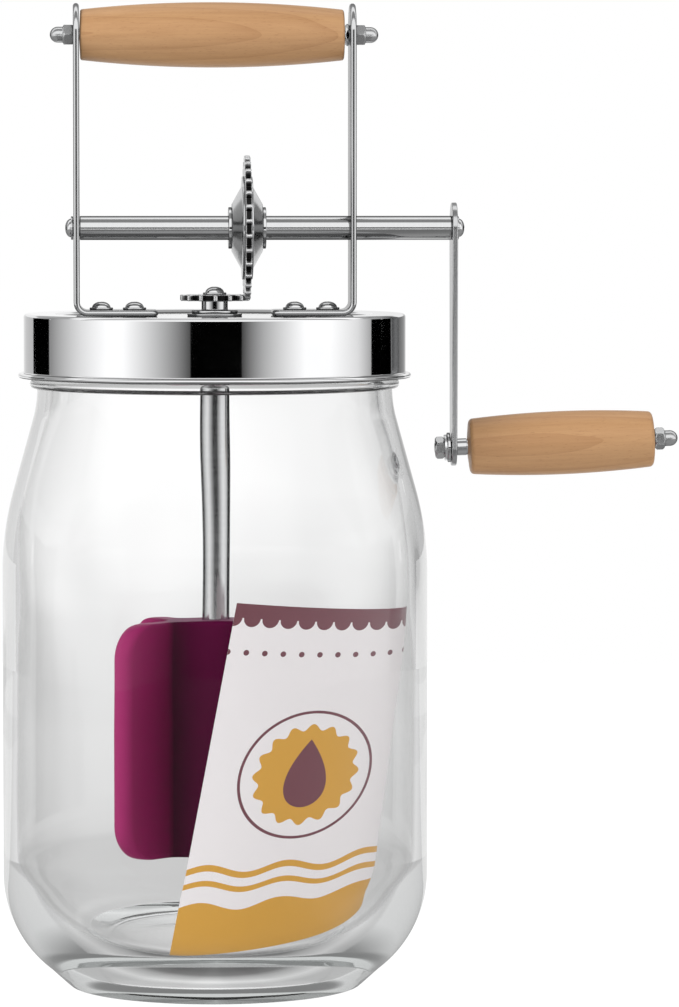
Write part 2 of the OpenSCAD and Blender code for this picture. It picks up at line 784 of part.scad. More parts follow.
module pin_spring_washer() {
    color(steel_c)
        on_pin(spring_u)
            rotate([0, 0, 90 + spring_slit / 2])
                rotate_extrude(angle = 360 - spring_slit)
                    translate([thread_r + hole_room, 0])
                        square([spring_r - thread_r - hole_room, spring_t]);
}

module pin_nut() {
    color(steel_c) on_pin(pin_nut_u) nut(nut_af, nut_h, thread_r + thread_room);
}

module crank_grip() {
    color(wood_c)
        on_pin(crank_grip_u + grip_bulge)
            turned_grip(crank_grip_l - 2 * grip_bulge, crank_grip_end_r, crank_grip_mid_r,
                        pin_core_r + run_room, grip_edge, grip_bulge);
}

module pin_dome_nut() {
    color(steel_c) on_pin(pin_end_u) dome_nut();
}

module driven_gear() {
    hole = spindle_square + 2 * thread_room;
    color(steel_c)
        translate([0, 0, sleeve_top_z])
            difference() {
                linear_extrude(height = gear_t)
                    gear_outline(driven_teeth, driven_pitch_r, 180 / driven_teeth);
                translate([-hole / 2, -hole / 2, -cut]) cube([hole, hole, gear_t + 2 * cut]);
            }
}

module gear_screw() {
    color(steel_c)
        translate([0, 0, sleeve_top_z + gear_t]) pan_screw(small_thread_r, screw_depth);
}

// Spindle with a shoulder under the bush and a square for the gear
module dasher_spindle() {
    shoulder_z = bush_low_z - shoulder_gap;
    low_z = paddle_z + paddle_h - spindle_grip;
    square_z = sleeve_top_z + gear_t - end_play;
    pin_mid_z = paddle_z + paddle_h - spindle_grip / 2;
    color(steel_c)
        difference() {
            union() {
                translate([0, 0, low_z]) cylinder(h = shoulder_z - low_z, r = spindle_r);
                translate([0, 0, low_z]) cylinder(h = sleeve_top_z - low_z, r = spindle_neck_r);
                translate([-spindle_square / 2, -spindle_square / 2, shoulder_z])
                    cube([spindle_square, spindle_square, square_z - shoulder_z]);
            }
            translate([0, 0, square_z - screw_depth - cut])
                cylinder(h = screw_depth + 2 * cut, r = small_thread_r + thread_room);
            rotate([0, 0, paddle_turn])
                translate([0, spindle_r + cut, pin_mid_z]) rotate([90, 0, 0])
                    cylinder(h = 2 * (spindle_r + cut), r = cross_pin_r + thread_room);
        }
}

// Middle web with two splayed fins at each end, rounded where a fin sweeps its corners
module paddle() {
    reach = -web_half * cos(fin_angle)
        + sqrt(paddle_r ^ 2 - (web_half * sin(fin_angle)) ^ 2);
    fin_l = reach - fin_t / 2;
    bore = spindle_r + thread_room;
    pin_mid_z = paddle_z + paddle_h - spindle_grip / 2;
    pin_room = cross_pin_l + 2 * thread_room;
    color(wine_c)
        rotate([0, 0, paddle_turn])
            difference() {
                intersection() {
                    translate([0, 0, paddle_z]) linear_extrude(height = paddle_h) {
                        square([2 * web_half, web_t], center = true);
                        for (side = [0, 180])
                            rotate(side) translate([web_half, 0]) {
                                circle(d = web_t);
                                for (a = [-fin_angle, fin_angle])
                                    rotate(a) {
                                        translate([0, -fin_t / 2]) square([fin_l, fin_t]);
                                        translate([fin_l, 0]) circle(d = fin_t);
                                    }
                            }
                    }
                    translate([0, 0, paddle_z]) rotate_extrude() polygon(concat(
                        [[0, 0]],
                        arc([paddle_r - fin_low_r, fin_low_r], fin_low_r, -90, 0),
                        arc([paddle_r - fin_top_r, paddle_h - fin_top_r], fin_top_r, 0, 90),
                        [[0, paddle_h]]));
                }
                translate([0, 0, paddle_z + paddle_h - spindle_grip])
                    cylinder(h = spindle_grip + cut, r = bore);
                translate([0, pin_room / 2, pin_mid_z]) rotate([90, 0, 0])
                    cylinder(h = pin_room, r = cross_pin_r + thread_room);
            }
}

module paddle_pin() {
    color(steel_c)
        rotate([0, 0, paddle_turn])
            translate([0, cross_pin_l / 2, paddle_z + paddle_h - spindle_grip / 2])
                rotate([90, 0, 0]) cylinder(h = cross_pin_l, r = cross_pin_r);
}

glass_jar();
recipe_card();
lid_seal();
lid_cap();
left_bracket();
right_bracket();
bracket_screws();
bracket_nuts();
lid_bush();
bush_washer();
bush_nut();
handle_grip();
handle_rod();
left_handle_dome_nut();
right_handle_dome_nut();
handle_lock_nut();
crank_shaft();
drive_gear();
left_gear_dish();
right_gear_dish();
left_shaft_collar();
right_shaft_collar();
shaft_end_screw();
crank_arm();
crank_arm_screw();
crank_pin();
pin_washer();
pin_spring_washer();
pin_nut();
crank_grip();
pin_dome_nut();
driven_gear();
gear_screw();
dasher_spindle();
paddle();
paddle_pin();
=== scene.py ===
from math import acos, asin, atan, atan2, cos, degrees, exp, pi, radians, sin, sqrt, tan

import bmesh
import bpy
from mathutils import Matrix, Vector


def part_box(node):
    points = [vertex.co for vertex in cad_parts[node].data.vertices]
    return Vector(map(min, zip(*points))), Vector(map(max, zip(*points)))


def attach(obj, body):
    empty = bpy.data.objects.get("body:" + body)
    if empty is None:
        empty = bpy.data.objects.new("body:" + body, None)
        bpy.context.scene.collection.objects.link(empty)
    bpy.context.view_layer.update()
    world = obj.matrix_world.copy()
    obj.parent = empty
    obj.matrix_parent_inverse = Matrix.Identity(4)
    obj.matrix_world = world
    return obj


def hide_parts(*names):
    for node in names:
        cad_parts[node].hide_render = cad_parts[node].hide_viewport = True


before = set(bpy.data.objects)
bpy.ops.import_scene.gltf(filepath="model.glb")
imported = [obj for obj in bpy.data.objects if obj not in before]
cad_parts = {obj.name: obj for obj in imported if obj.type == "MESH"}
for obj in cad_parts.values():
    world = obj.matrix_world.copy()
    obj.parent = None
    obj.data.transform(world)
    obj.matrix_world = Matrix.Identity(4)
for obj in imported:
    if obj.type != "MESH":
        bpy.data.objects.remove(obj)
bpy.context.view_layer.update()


# Camera
# A long lens in front of the churn, a little to its left and just above the lid, as the
# photograph was taken. Sizes in this file are in millimetres, and MM turns them into metres.
MM = 0.001
camera_at = Vector((-54, -1950, 293.7))
camera_aim = Vector((45.25, 0, 174.9))
camera_lens = 192.5
scene = bpy.context.scene
scene.view_settings.view_transform = "Standard"
scene.camera = bpy.data.objects.new("camera", bpy.data.cameras.new("camera"))
scene.collection.objects.link(scene.camera)
scene.camera.location = camera_at * MM
scene.camera.rotation_euler = (camera_aim - camera_at).to_track_quat("-Z", "Y").to_euler()
scene.camera.data.lens = camera_lens


# Studio
# A white room with a dark flag in front of the churn and one on each side behind it, which
# polished metal shows as dark bands. Two soft lamps light the churn on a pale round floor. To
# reflections the floor glows with painted shade, and through glass with a painted shadow under the jar.
def operator(operation, swapped=False):
    """A method of Wire that adds a Math node of this operation."""
    def method(wire, *other):
        return wire.math(operation, *other, wire) if swapped else wire.math(operation, wire, *other)
    return method


class Wire:
    """A socket of a node tree. Arithmetic on it adds Math nodes, and node() adds any other."""

    def __init__(self, tree, socket=None):
        self.tree = tree
        self.socket = socket

    def node(self, kind, sockets=None, out=0, **settings):
        """Adds a node, a shader's by its short name, and gives one of its outputs. Its settings go
        in before its sockets."""
        made = self.tree.nodes.new(kind if "Node" in kind else "ShaderNode" + kind)
        for name, value in settings.items():
            if name == "stops":
                first, *rest = value
                made.color_ramp.elements.remove(made.color_ramp.elements[1])
                made.color_ramp.elements[0].position, made.color_ramp.elements[0].color = first
                for place, colour in rest:
                    made.color_ramp.elements.new(place).color = colour
            elif name == "items":
                for _ in range(value - len(made.index_switch_items)):
                    made.index_switch_items.new()
            else:
                setattr(made, name, value)
        for name, value in (sockets or {}).items():
            if isinstance(value, Wire):
                self.tree.links.new(value.socket, made.inputs[name])
            else:
                made.inputs[name].default_value = value
        return Wire(self.tree, made.outputs[out]) if made.outputs else None

    def math(self, operation, *values):
        return self.node("Math", dict(enumerate(values)), operation=operation)

    def parts(self):
        """The three parts of a vector."""
        split = self.node("SeparateXYZ", {"Vector": self}).socket.node
        return [Wire(self.tree, output) for output in split.outputs]

    def mix(self, low, high):
        """A colour between two others, by this share."""
        return self.node("Mix", {0: self, 6: low, 7: high}, 2, data_type="RGBA")

    def ramp(self, *stops):
        """Grey levels by place, from 0 to 1."""
        greys = [(place, (level, level, level, 1)) for place, level in stops]
        return self.node("ValToRGB", {"Fac": self}, stops=greys)

    __add__ = __radd__ = operator("ADD")
    __sub__ = operator("SUBTRACT")
    __rsub__ = operator("SUBTRACT", swapped=True)
    __mul__ = __rmul__ = operator("MULTIPLY")
    __truediv__ = operator("DIVIDE")
    __pow__ = operator("POWER")
    __lt__ = operator("LESS_THAN")
    __gt__ = operator("GREATER_THAN")
    __abs__ = operator("ABSOLUTE")


def grey(level):
    return (level, level, level, 1)


def full_turn(angle):
    """A direction round the churn as a share of a full turn: 0 is the front, 90 the right."""
    return angle / 360 + 0.5


def by_angle(share, *stops):
    """Grey levels by an angle from 0 to 180 degrees, which comes as a share of a half turn."""
    return share.ramp(*((angle / 180, level) for angle, level in stops))


def ray(wire, fact):
    """A fact about a ray, such as how often it was thrown back, its "Glossy Depth"."""
    return wire.node("LightPath", out=fact)


def seen_round(across, depth):
    """The direction round the churn of a place, as a share of a full turn."""
    return across.math("ARCTAN2", across, depth * -1) / (2 * pi) + 0.5


def hypotenuse(across, depth):
    """The distance that two sides of a right angle span."""
    return across.math("SQRT", across * across + depth * depth)


room_light = 0.56
flag_top, back_top, far_top, far_low, edge_top, glass_top = (
    sin(radians(angle)) for angle in (6, 22, 6.5, -2.3, 12, 8))
far_depth = 0.75
flags = ((-143, -120), (-16, 14.5), (107, 146))
flag_middle, flag_half = -0.035, 0.12
glint_at, glint_half = 118.7, 0.9
glint_middle, glint_rise = 0.015, 0.033
second_reflection_shade = 0.65
scene.world = bpy.data.worlds.new("studio")
scene.world.use_nodes = True
scene.world.node_tree.nodes.clear()
wire = Wire(scene.world.node_tree)
across, depth, rise = wire.node("TexCoord", out="Generated").parts()
turn = seen_round(across, depth)
off_front = abs(turn - 0.5) * 2
walls = turn.ramp(*((full_turn(angle), level) for angle, level in (
    (-180, 0.95), (-160, 0.6), (-144, 0.5), (-119, 0.26), (-90, 0.8), (-70, 1.12), (-58, 1.12),
    (-30, 0.42), (-16, 0.08), (14.5, 0.06), (28, 0.46), (54, 1.12), (72, 1.12), (94, 0.8),
    (107, 0.4), (146, 0.15), (160, 0.3), (180, 0.95))))
for start, end in flags:
    on_flag = abs(turn - full_turn((start + end) / 2)) < (end - start) / 720
    walls = (on_flag * (abs(rise - flag_middle) < flag_half)).mix(walls, grey(0))
glint = abs(off_front - glint_at / 180) < glint_half / 180
walls = (glint * (abs(rise - glint_middle) < glint_rise)).mix(walls, grey(1.1))
ceiling = by_angle(wire.math("ARCTAN2", abs(rise), depth * -1) / pi,
                   (0, 1.15), (50, 1.15), (57, 0.3), (88, 0.3), (94, 1.15), (116, 1.15), (124, 0.4),
                   (157, 0.4), (160, 0.9), (180, 0.9))
far = depth > far_depth
wall_top = flag_top + (depth > 0) * (back_top - flag_top) - far * (back_top - far_top)
past_wall = wire.math("MAXIMUM", abs(rise) > wall_top, far * (rise < far_low))
# A second reflection shows the room darker, as painted shade that darkens the undersides of screws and
# washers.
mirrored = past_wall.mix(walls, ceiling) * (1 - (ray(wire, "Glossy Depth") > 1.5) * second_reflection_shade)

# Glass shows the room pale straight behind it, grey aside and darker towards the floor. What is
# thrown back inside its wall finds a darker front, and polished metal behind it the mirrored room.
thrown = ray(wire, "Glossy Depth") > 0.5
twice_through = ray(wire, "Transmission Depth") > 3.5
behind = by_angle(off_front, (0, 0.9), (108, 0.9), (115, 0.6), (140, 0.6), (146, 0.8), (152, 0.75),
                  (163, 0.75), (168, 0.84), (172, 0.86), (176, 0.9), (178, 0.98), (180, 1))
haze = by_angle(wire.math("ARCSINE", rise) / pi + 0.5,
                (0, 0.14), (24, 0.17), (32, 0.24), (37, 0.5), (43, 0.7), (47, 0.85), (55, 0.62), (81, 0.62),
                (82.5, 0.69), (84.4, 0.82), (85.6, 0.94), (87, 1.06), (180, 1.06))
front = by_angle(off_front, (0, 0.25), (40, 0.3), (85, 1.05), (180, 1.05))
aside = by_angle(off_front, (0, 1), (130, 1), (140, 0), (180, 0))
shown = behind * (thrown * (abs(rise) < edge_top)).mix(thrown.mix(haze, haze * front), front)
shown = (aside * twice_through * (1 - thrown)).mix(shown, grey(0.9))
shown = ray(wire, "Is Camera Ray").mix(shown, grey(1))
polished = (ray(wire, "Transmission Depth") < 0.5) + twice_through * (abs(rise) < glass_top)
shown = (thrown * polished).mix(shown, mirrored)
shown = ray(wire, "Is Diffuse Ray").mix(shown, grey(room_light))
room = wire.node("Background", {"Color": shown, "Strength": 1})
wire.node("OutputWorld", {"Surface": room})


def new_finish(name):
    """An empty material, and the wire that its nodes start from."""
    material = bpy.data.materials.new(name)
    material.use_nodes = True
    material.node_tree.nodes.clear()
    return material, Wire(material.node_tree)


def surface(wire, sockets):
    """Ends a material in one Principled shader with these sockets."""
    shader = wire.node("BsdfPrincipled", sockets)
    wire.node("OutputMaterial", {"Surface": shader})


def noise(wire, scale, detail, place=None, roughness=0.5):
    """Soft random values over a piece, by its own coordinates."""
    place = place or wire.node("TexCoord", out="Object")
    return wire.node("TexNoise", {
        "Vector": place, "Scale": scale, "Detail": detail, "Roughness": roughness}, out="Fac")


def bump(wire, height, strength, distance):
    return wire.node("Bump", {
        "Height": height, "Strength": strength, "Distance": distance})


def layers(wire, base, *covers):
    """Lays shaders over a base, each by its share."""
    for share, shader in covers:
        base = wire.node("MixShader", {0: share, 1: base, 2: shader})
    return base


floor_r = 1300
floor_z = -0.3
pale_floor, wire = new_finish("pale_floor")
across, depth, _ = wire.node("TexCoord", out="Object").parts()
rim = hypotenuse(across, depth) / (floor_r * MM)
# Painted shade and shadow: to reflections the floor glows darker, darkest in front of the churn, and through
# glass it glows dark under the jar, as a painted shadow.
painted_floor_shade = by_angle(abs(seen_round(across, depth) - 0.5) * 2,
               (0, 0.2), (15, 0.2), (45, 0.35), (140, 0.3), (142, 0.8), (180, 0.8))
painted_jar_shadow = rim.ramp((0, 0.3), (0.034, 0.3), (0.046, 0.95), (1, 0.95))
paint = wire.node("BsdfDiffuse", {"Color": grey(0.8)})
glow, painted_shade_glow, painted_shadow_glow = (
    wire.node("Emission", {"Color": colour, "Strength": strength})
    for colour, strength in ((grey(1), 1.15), (painted_floor_shade, 1), (painted_jar_shadow, 1)))
pale = layers(wire, paint, (rim.ramp((0, 0.8), (0.1, 0.85), (0.3, 1), (1, 1)), glow),
              (ray(wire, "Glossy Depth") > 0.5, painted_shade_glow), (ray(wire, "Transmission Depth") > 0.5, painted_shadow_glow),
              (ray(wire, "Is Diffuse Ray"), paint))
wire.node("OutputMaterial", {"Surface": pale})
disc = bmesh.new()
bmesh.ops.create_circle(disc, cap_ends=True, segments=96, radius=floor_r * MM)
bmesh.ops.translate(disc, verts=disc.verts, vec=(0, 0, floor_z * MM))
floor = bpy.data.objects.new("floor", bpy.data.meshes.new("floor"))
disc.to_mesh(floor.data)
disc.free()
floor.data.materials.append(pale_floor)
floor.visible_transmission = False
scene.collection.objects.link(floor)

lamp_aim = Vector((0, 0, 150))
for name, place, size, power in (
        ("key_lamp", (-1400, -800, 1500), 900, 24), ("fill_lamp", (1100, -1200, 700), 900, 6)):
    lamp = bpy.data.objects.new(name, bpy.data.lights.new(name, "AREA"))
    lamp.data.energy = power
    lamp.data.size = size * MM
    lamp.location = Vector(place) * MM
    lamp.rotation_euler = (lamp_aim - Vector(place)).to_track_quat("-Z", "Y").to_euler()
    lamp.visible_glossy = False
    lamp.visible_transmission = False
    scene.collection.objects.link(lamp)


# Glass jar
# A wide-mouthed jar of clear pressed glass with a thick base, a round heel, a ring under the
# lid and a screw thread. Its inner wall is a little uneven, which makes the spindle look wavy.
def span(node):
    """The lowest and highest corner of a node, in millimetres."""
    low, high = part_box(node)
    return low / MM, high / MM


def arc(across, up, radius, start, end, steps=10):
    """Points of an arc in a turned outline, between two angles in degrees."""
    angles = [radians(start + (end - start) * k / steps) for k in range(steps + 1)]
    return [(across + radius * cos(a), up + radius * sin(a)) for a in angles]


def rows(start, end, count):
    """Points of a straight stretch of an outline, without its ends."""
    shares = [k / (count + 1) for k in range(1, count + 1)]
    return [tuple(a + (b - a) * share for a, b in zip(start, end)) for share in shares]


def rounded(radius, low, high, edge, steps=4):
    """The upright side of an outline, from below to above, with rounded edges."""
    return (arc(radius - edge, low + edge, edge, -90, 0, steps)
            + arc(radius - edge, high - edge, edge, 0, 90, steps))


def bridged(made, rings):
    """Joins each ring of points with the next by faces; a ring of one point is a pole."""
    for a, b in zip(rings, rings[1:]):
        count = max(len(a), len(b))
        for k in range(count):
            n = (k + 1) % count
            corners = (a[k % len(a)], a[n % len(a)], b[n % len(b)], b[k % len(b)])
            made.faces.new(list(dict.fromkeys(corners)))
    bmesh.ops.recalc_face_normals(made, faces=made.faces)
    return made


def turned(outline, sides=96, shape=None):
    """Turns an outline of (radius, height) about Z. Ends on the axis become poles, and any other
    outline is closed. shape(index, radius, height, angle) may change a point's radius."""
    made = bmesh.new()
    rings = []
    for index, (radius, height) in enumerate(outline):
        ring = []
        for k in range(sides if radius else 1):
            angle = 2 * pi * k / sides
            r = shape(index, radius, height, angle) if shape and radius else radius
            ring.append(made.verts.new((r * cos(angle), r * sin(angle), height)))
        rings.append(ring)
    return bridged(made, rings if outline[0][0] == 0 else rings + rings[:1])


def piece(name, shape, finish, body, node, place=None, even=True):
    """An object of this finish from a shape in millimetres, put in its place. It rides on a body,
    fills a material slot and stands for a CAD node. Even shading keeps large faces flat."""
    mesh = bpy.data.meshes.new(name)
    shape.to_mesh(mesh)
    shape.free()
    mesh.transform(Matrix.Scale(MM, 4) @ (place or Matrix.Identity(4)))
    mesh.shade_smooth()
    mesh.set_sharp_from_angle(angle=sharp_angle)
    mesh.materials.clear()
    mesh.materials.append(finish)
    made = bpy.data.objects.new(name, mesh)
    scene.collection.objects.link(made)
    if even:
        change = made.modifiers.new("even", "WEIGHTED_NORMAL")
        change.keep_sharp = True
        flat = made.evaluated_get(bpy.context.evaluated_depsgraph_get())
        made.data = bpy.data.meshes.new_from_object(flat)
        made.data.name = name
        made.modifiers.remove(change)
        bpy.data.meshes.remove(mesh)
    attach(made, body)
    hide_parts(node)
    return made


def shoulder(wall, neck, low, high):
    """Curve from a wall to a neck: it bulges out, slopes and hollows in, tangent to both."""
    angle = shoulder_slope * atan((wall - neck) / (high - low))
    both = ((high - low) * tan(angle) - wall + neck) / (1 / cos(angle) - 1)
    bulge = both * shoulder_share
    bend = degrees(angle)
    bulging = arc(wall - bulge, low, bulge, 0, bend, 22)
    hollow = arc(neck + both - bulge, high, both - bulge, 180 + bend, 180, 14)
    return bulging + rows(bulging[-1], hollow[0], 6) + hollow


sharp_angle = radians(32)
jar_low, jar_high = span("glass_jar")
jar_r = min(jar_high.x, jar_high.y, -jar_low.x, -jar_low.y)
rim_z = jar_high.z
jar_wall = 5
floor_t = 10.5
heel_r = 43
heel_z = 40.9
crease_out = 26.3
foot_in = 6.9
foot_edge = 1.2
foot_ring_w = 9
punt_w = 6
punt_h = 2
punt_share = 0.75
wall_top_z = 150.1
neck_z = 216.9
shoulder_share = 0.74
shoulder_slope = 1.43
finish_r = 63.5
mouth_r = 59
neck_r = 64.3
neck_ring_r = 66.8
ring_low_z = 217.1
ring_top_z = 220.6
ring_edge = 1.5
rim_edge = 1.4
thread_h = 1.9
thread_pitch = 6
thread_low, thread_high = 225.8, 237.3
thread_half = 1.3
thread_fade = 2
thread_start = 1
sway = 0.4
sway_share = 0.4
sway_waves = ((1, 3, 40, 0), (0.8, 7, -20, 1), (0.5, 12, 26, 2))
sway_low, sway_high = (100, 140), (190, 215)
jar_in_r = jar_r - jar_wall
heel_in_r = heel_r - jar_wall
heel_x = jar_r - heel_r
foot_r = heel_x + crease_out - foot_in
punt_r = foot_r - foot_edge - foot_ring_w
heel_angle = degrees(acos(crease_out / heel_r))
crease_z = heel_z - heel_r * sin(radians(heel_angle))
foot_slope = degrees(atan2(crease_z, foot_in))
outer = (
    [(0, punt_h), (punt_r - punt_w, punt_h * punt_share), (punt_r, 0)]
    + arc(foot_r - foot_edge, foot_edge, foot_edge, -90, foot_slope - 90, 5)
    + rows((foot_r, foot_edge / 2), (heel_x + crease_out, crease_z), 6)
    + arc(heel_x, heel_z, heel_r, -heel_angle, 0, 30)
    + rows((jar_r, heel_z), (jar_r, wall_top_z), 24)
    + shoulder(jar_r, neck_r, wall_top_z, neck_z)
    + rounded(neck_ring_r, ring_low_z, ring_top_z, ring_edge, 8)
    + [(finish_r, ring_top_z)]
    + rows((finish_r, ring_top_z), (finish_r, rim_z - rim_edge), 48)
    + arc(finish_r - rim_edge, rim_z - rim_edge, rim_edge, 0, 90, 6))
inner = (
    arc(mouth_r + rim_edge, rim_z - rim_edge, rim_edge, 90, 180, 6)
    + rows((mouth_r, rim_z - rim_edge), (mouth_r, neck_z), 4)
    + shoulder(jar_in_r, mouth_r, wall_top_z, neck_z)[::-1]
    + rows((jar_in_r, wall_top_z), (jar_in_r, floor_t + heel_in_r), 30)
    + arc(jar_in_r - heel_in_r, floor_t + heel_in_r, heel_in_r, 0, -90, 28)
    + [(0, floor_t)])


def glass_radius(index, radius, height, angle):
    """Winds the thread round the neck, and lets the inner wall sway."""
    if index >= len(outer):
        rising = (height - sway_low[0]) / (sway_low[1] - sway_low[0])
        falling = (sway_high[1] - height) / (sway_high[1] - sway_high[0])
        wave = sum(size * sin(count * angle + height / pitch + shift)
                   for size, count, pitch, shift in sway_waves)
        return radius + sway * min(1, max(0, rising)) * min(1, max(0, falling)) * (1 + sway_share * wave)
    if radius == finish_r:
        turns = (height - thread_low) / thread_pitch - angle / (2 * pi)
        off = (turns - round(turns)) * thread_pitch
        ends = max(0, height - thread_low + thread_start), max(0, thread_high - height)
        return radius + thread_h * min(1, min(ends) / thread_fade) * exp(-(off / thread_half) ** 2)
    return radius


clear_glass, wire = new_finish("clear_glass")
clear = wire.node("BsdfPrincipled", {
    "Base Color": grey(1), "Roughness": 0, "IOR": 1.5, "Transmission Weight": 1,
    "Specular Tint": grey(0.3), "Normal": bump(wire, noise(wire, 26, 1), 0.08, 0.002)})
passed, spent = (wire.node("BsdfTransparent", {"Color": grey(level)})
                 for level in (0.96, 0.75))
clear = layers(wire, clear, (ray(wire, "Is Shadow Ray") + ray(wire, "Is Diffuse Ray"), passed),
               (ray(wire, "Glossy Depth") > 2.5, spent))
grey_body = wire.node("VolumeAbsorption", {
    "Color": (0.85, 0.875, 0.87, 1), "Density": 9})
wire.node("OutputMaterial", {"Surface": clear, "Volume": grey_body})
piece("jar_glass", turned(outer + inner, 256, glass_radius), clear_glass,
      "jar", "glass_jar", even=False)


# Printed card
# A stiff paper card that stands in the jar, its foot in the heel and its head against the wall.
# One side has a plain kitchen print in ochre and burgundy, the other is bare.
card_t = 0.5
card_low, card_high = span("recipe_card")
card_foot_r, card_head_r = 55.4, 71.8
card_corners = ((-17.3, 17.3), (54.1, 23.1), (68.3, 139), (5.5, 144.6))
card_w, card_h = 66, 125
card_steps = (40, 48)


def card_point(u, v, depth):
    """A point of the card, from its print's place and its depth behind the print."""
    (ax, az), (bx, bz), (cx, cz), (dx, dz) = card_corners
    x = (1 - v) * ((1 - u) * ax + u * bx) + v * ((1 - u) * dx + u * cx)
    z = (1 - v) * ((1 - u) * az + u * bz) + v * ((1 - u) * dz + u * cz)
    rise = (z - card_low.z) / (card_high.z - card_low.z)
    r = card_foot_r + (card_head_r - card_foot_r) * rise - depth
    return Vector((x, -sqrt(r * r - x * x), z))


def card_shape():
    """Both sides of the card and its cut edges; the print is on the side with u up to 1."""
    made = bmesh.new()
    layer = made.loops.layers.uv.new("print")
    wide, tall = card_steps
    sides = [[[made.verts.new(card_point(i / wide, j / tall, depth)) for j in range(tall + 1)]
              for i in range(wide + 1)] for depth in (0, card_t)]

    def face(corners, bare):
        grid = [sides[side][i][j] for side, i, j in corners]
        for loop, (_, i, j) in zip(made.faces.new(grid).loops, corners):
            loop[layer].uv = (i / wide + bare, j / tall)

    for i in range(wide):
        for j in range(tall):
            ring = [(i, j), (i + 1, j), (i + 1, j + 1), (i, j + 1)]
            face([(0, *p) for p in ring], 0)
            face([(1, *p) for p in reversed(ring)], 2)
    around = ([(i, 0) for i in range(wide)] + [(wide, j) for j in range(tall)]
              + [(i, tall) for i in range(wide, 0, -1)] + [(0, j) for j in range(tall, 0, -1)])
    for p, q in zip(around, around[1:] + around[:1]):
        face([(0, *q), (0, *p), (1, *p), (1, *q)], 2)
    bmesh.ops.recalc_face_normals(made, faces=made.faces)
    return made


paper = (0.96, 0.92, 0.93, 1)
ochre = (0.76, 0.40, 0.062, 1)
burgundy = (0.205, 0.07, 0.09, 1)
printed_card, wire = new_finish("printed_card")
u, v, _ = wire.node("UVMap", uv_map="print").parts()
x, y = u * card_w, v * card_h
sun_x, sun_y = 35, 64
sun_r, sun_rays, ray_h = 17.5, 16, 1.1
halo_r, line_half = 23, 0.5
drop_low, drop_h, drop_w = 12, 25, 19
bead_pitch, bead_y, bead_r = 6.6, 108, 1
scallop_y, scallop_r = 120, 3
wave_pitch, wave_h, wave_half, wave_ys = 4.2, 1.6, 1.2, (30, 24)
foot_y = 16
off_x, off_y = x - sun_x, y - sun_y
out = hypotenuse(off_x, off_y)
sun = out < sun_r + wire.math("COSINE", wire.math("ARCTAN2", off_y, off_x) * sun_rays) * ray_h
halo = abs(out - halo_r) < line_half
drop_up = (off_y + drop_low) / drop_h
drop = abs(off_x) < wire.math("SQRT", wire.math("MAXIMUM", drop_up, 0)) * (1 - drop_up) * drop_w
beside = x - wire.math("ROUND", x / bead_pitch) * bead_pitch
beads = hypotenuse(beside, y - bead_y) < bead_r
scallop = y > scallop_y - wire.math("SQRT", wire.math("MAXIMUM", scallop_r ** 2 - beside ** 2, 0))
wave = wire.math("SINE", x / wave_pitch) * wave_h
waves = sum(abs(y - height - wave) < wave_half for height in wave_ys)
colour = (sun + waves + (y < foot_y + wave)).mix(paper, ochre)
colour = (drop + halo + beads + scallop).mix(colour, burgundy)
colour = ((u < 1.5) * (u > -1)).mix(paper, colour)
fibre = noise(wire, 900, 3)
colour = wire.node("Mix", {0: 1, 6: colour, 7: fibre.mix(grey(0.94), grey(1))}, 2,
                   data_type="RGBA", blend_type="MULTIPLY")
surface(wire, {"Base Color": colour, "Roughness": 0.42 + fibre * 0.15,
               "Normal": bump(wire, fibre, 0.1, 0.0002)})
piece("print_card", card_shape(), printed_card, "jar", "recipe_card")


# Sealing ring
# A flat ring of milky silicone that lies on the jar's rim under the lid.
def ring_outline(inner, outer, low, high, edge):
    """Closed outline of a ring with rounded edges."""
    return (rounded(outer, low, high, edge) + arc(inner + edge, high - edge, edge, 90, 180, 4)
            + arc(inner + edge, low + edge, edge, 180, 270, 4))


seal_low, seal_high = span("lid_seal")
seal_in_r = 59.5
seal_edge = 0.5
milky_silicone, wire = new_finish("milky_silicone")
cloud = noise(wire, 120, 3)
surface(wire, {"Base Color": cloud.mix((0.80, 0.80, 0.78, 1), (0.88, 0.88, 0.86, 1)),
               "Roughness": 0.42 + cloud * 0.12, "Specular IOR Level": 0.4})
seal_outline = ring_outline(seal_in_r, seal_high.x, seal_low.z, seal_high.z, seal_edge)
piece("seal_ring", turned(seal_outline, 192), milky_silicone, "seal", "lid_seal")


# Screw lid
# A deep-drawn steel cap with a raised rim round its flat panel and a rolled lower edge,
# polished and chromed to a mirror outside and coated with near-black lacquer inside, whose
# darkness also stands for the shade in the cap. The underside of the rolled edge is painted
# near black, as shade.
lid_low, lid_high = span("lid_cap")
lid_rim_z = lid_high.z
roll_z = lid_low.z
lid_sheet = 0.8
lid_edge = 1.2
lid_rim_w = 11.5
lid_rim_slope = 1.6
panel_drop = 0.8
panel_bend = 1.5
roll_out = 2
roll_h = 1.8
roll_lip = 0.4
roll_bend = 0.45
lid_r = lid_high.x - roll_out
lid_in_r = lid_r - lid_sheet
lid_in_edge = lid_edge - lid_sheet
lid_top_z = lid_rim_z - panel_drop
lid_under_z = lid_top_z - lid_sheet
rim_in_r = lid_r - lid_rim_w
panel_r = rim_in_r - lid_rim_slope
slope = degrees(atan2(panel_drop, lid_rim_slope))
fold = tan(radians(slope / 2))
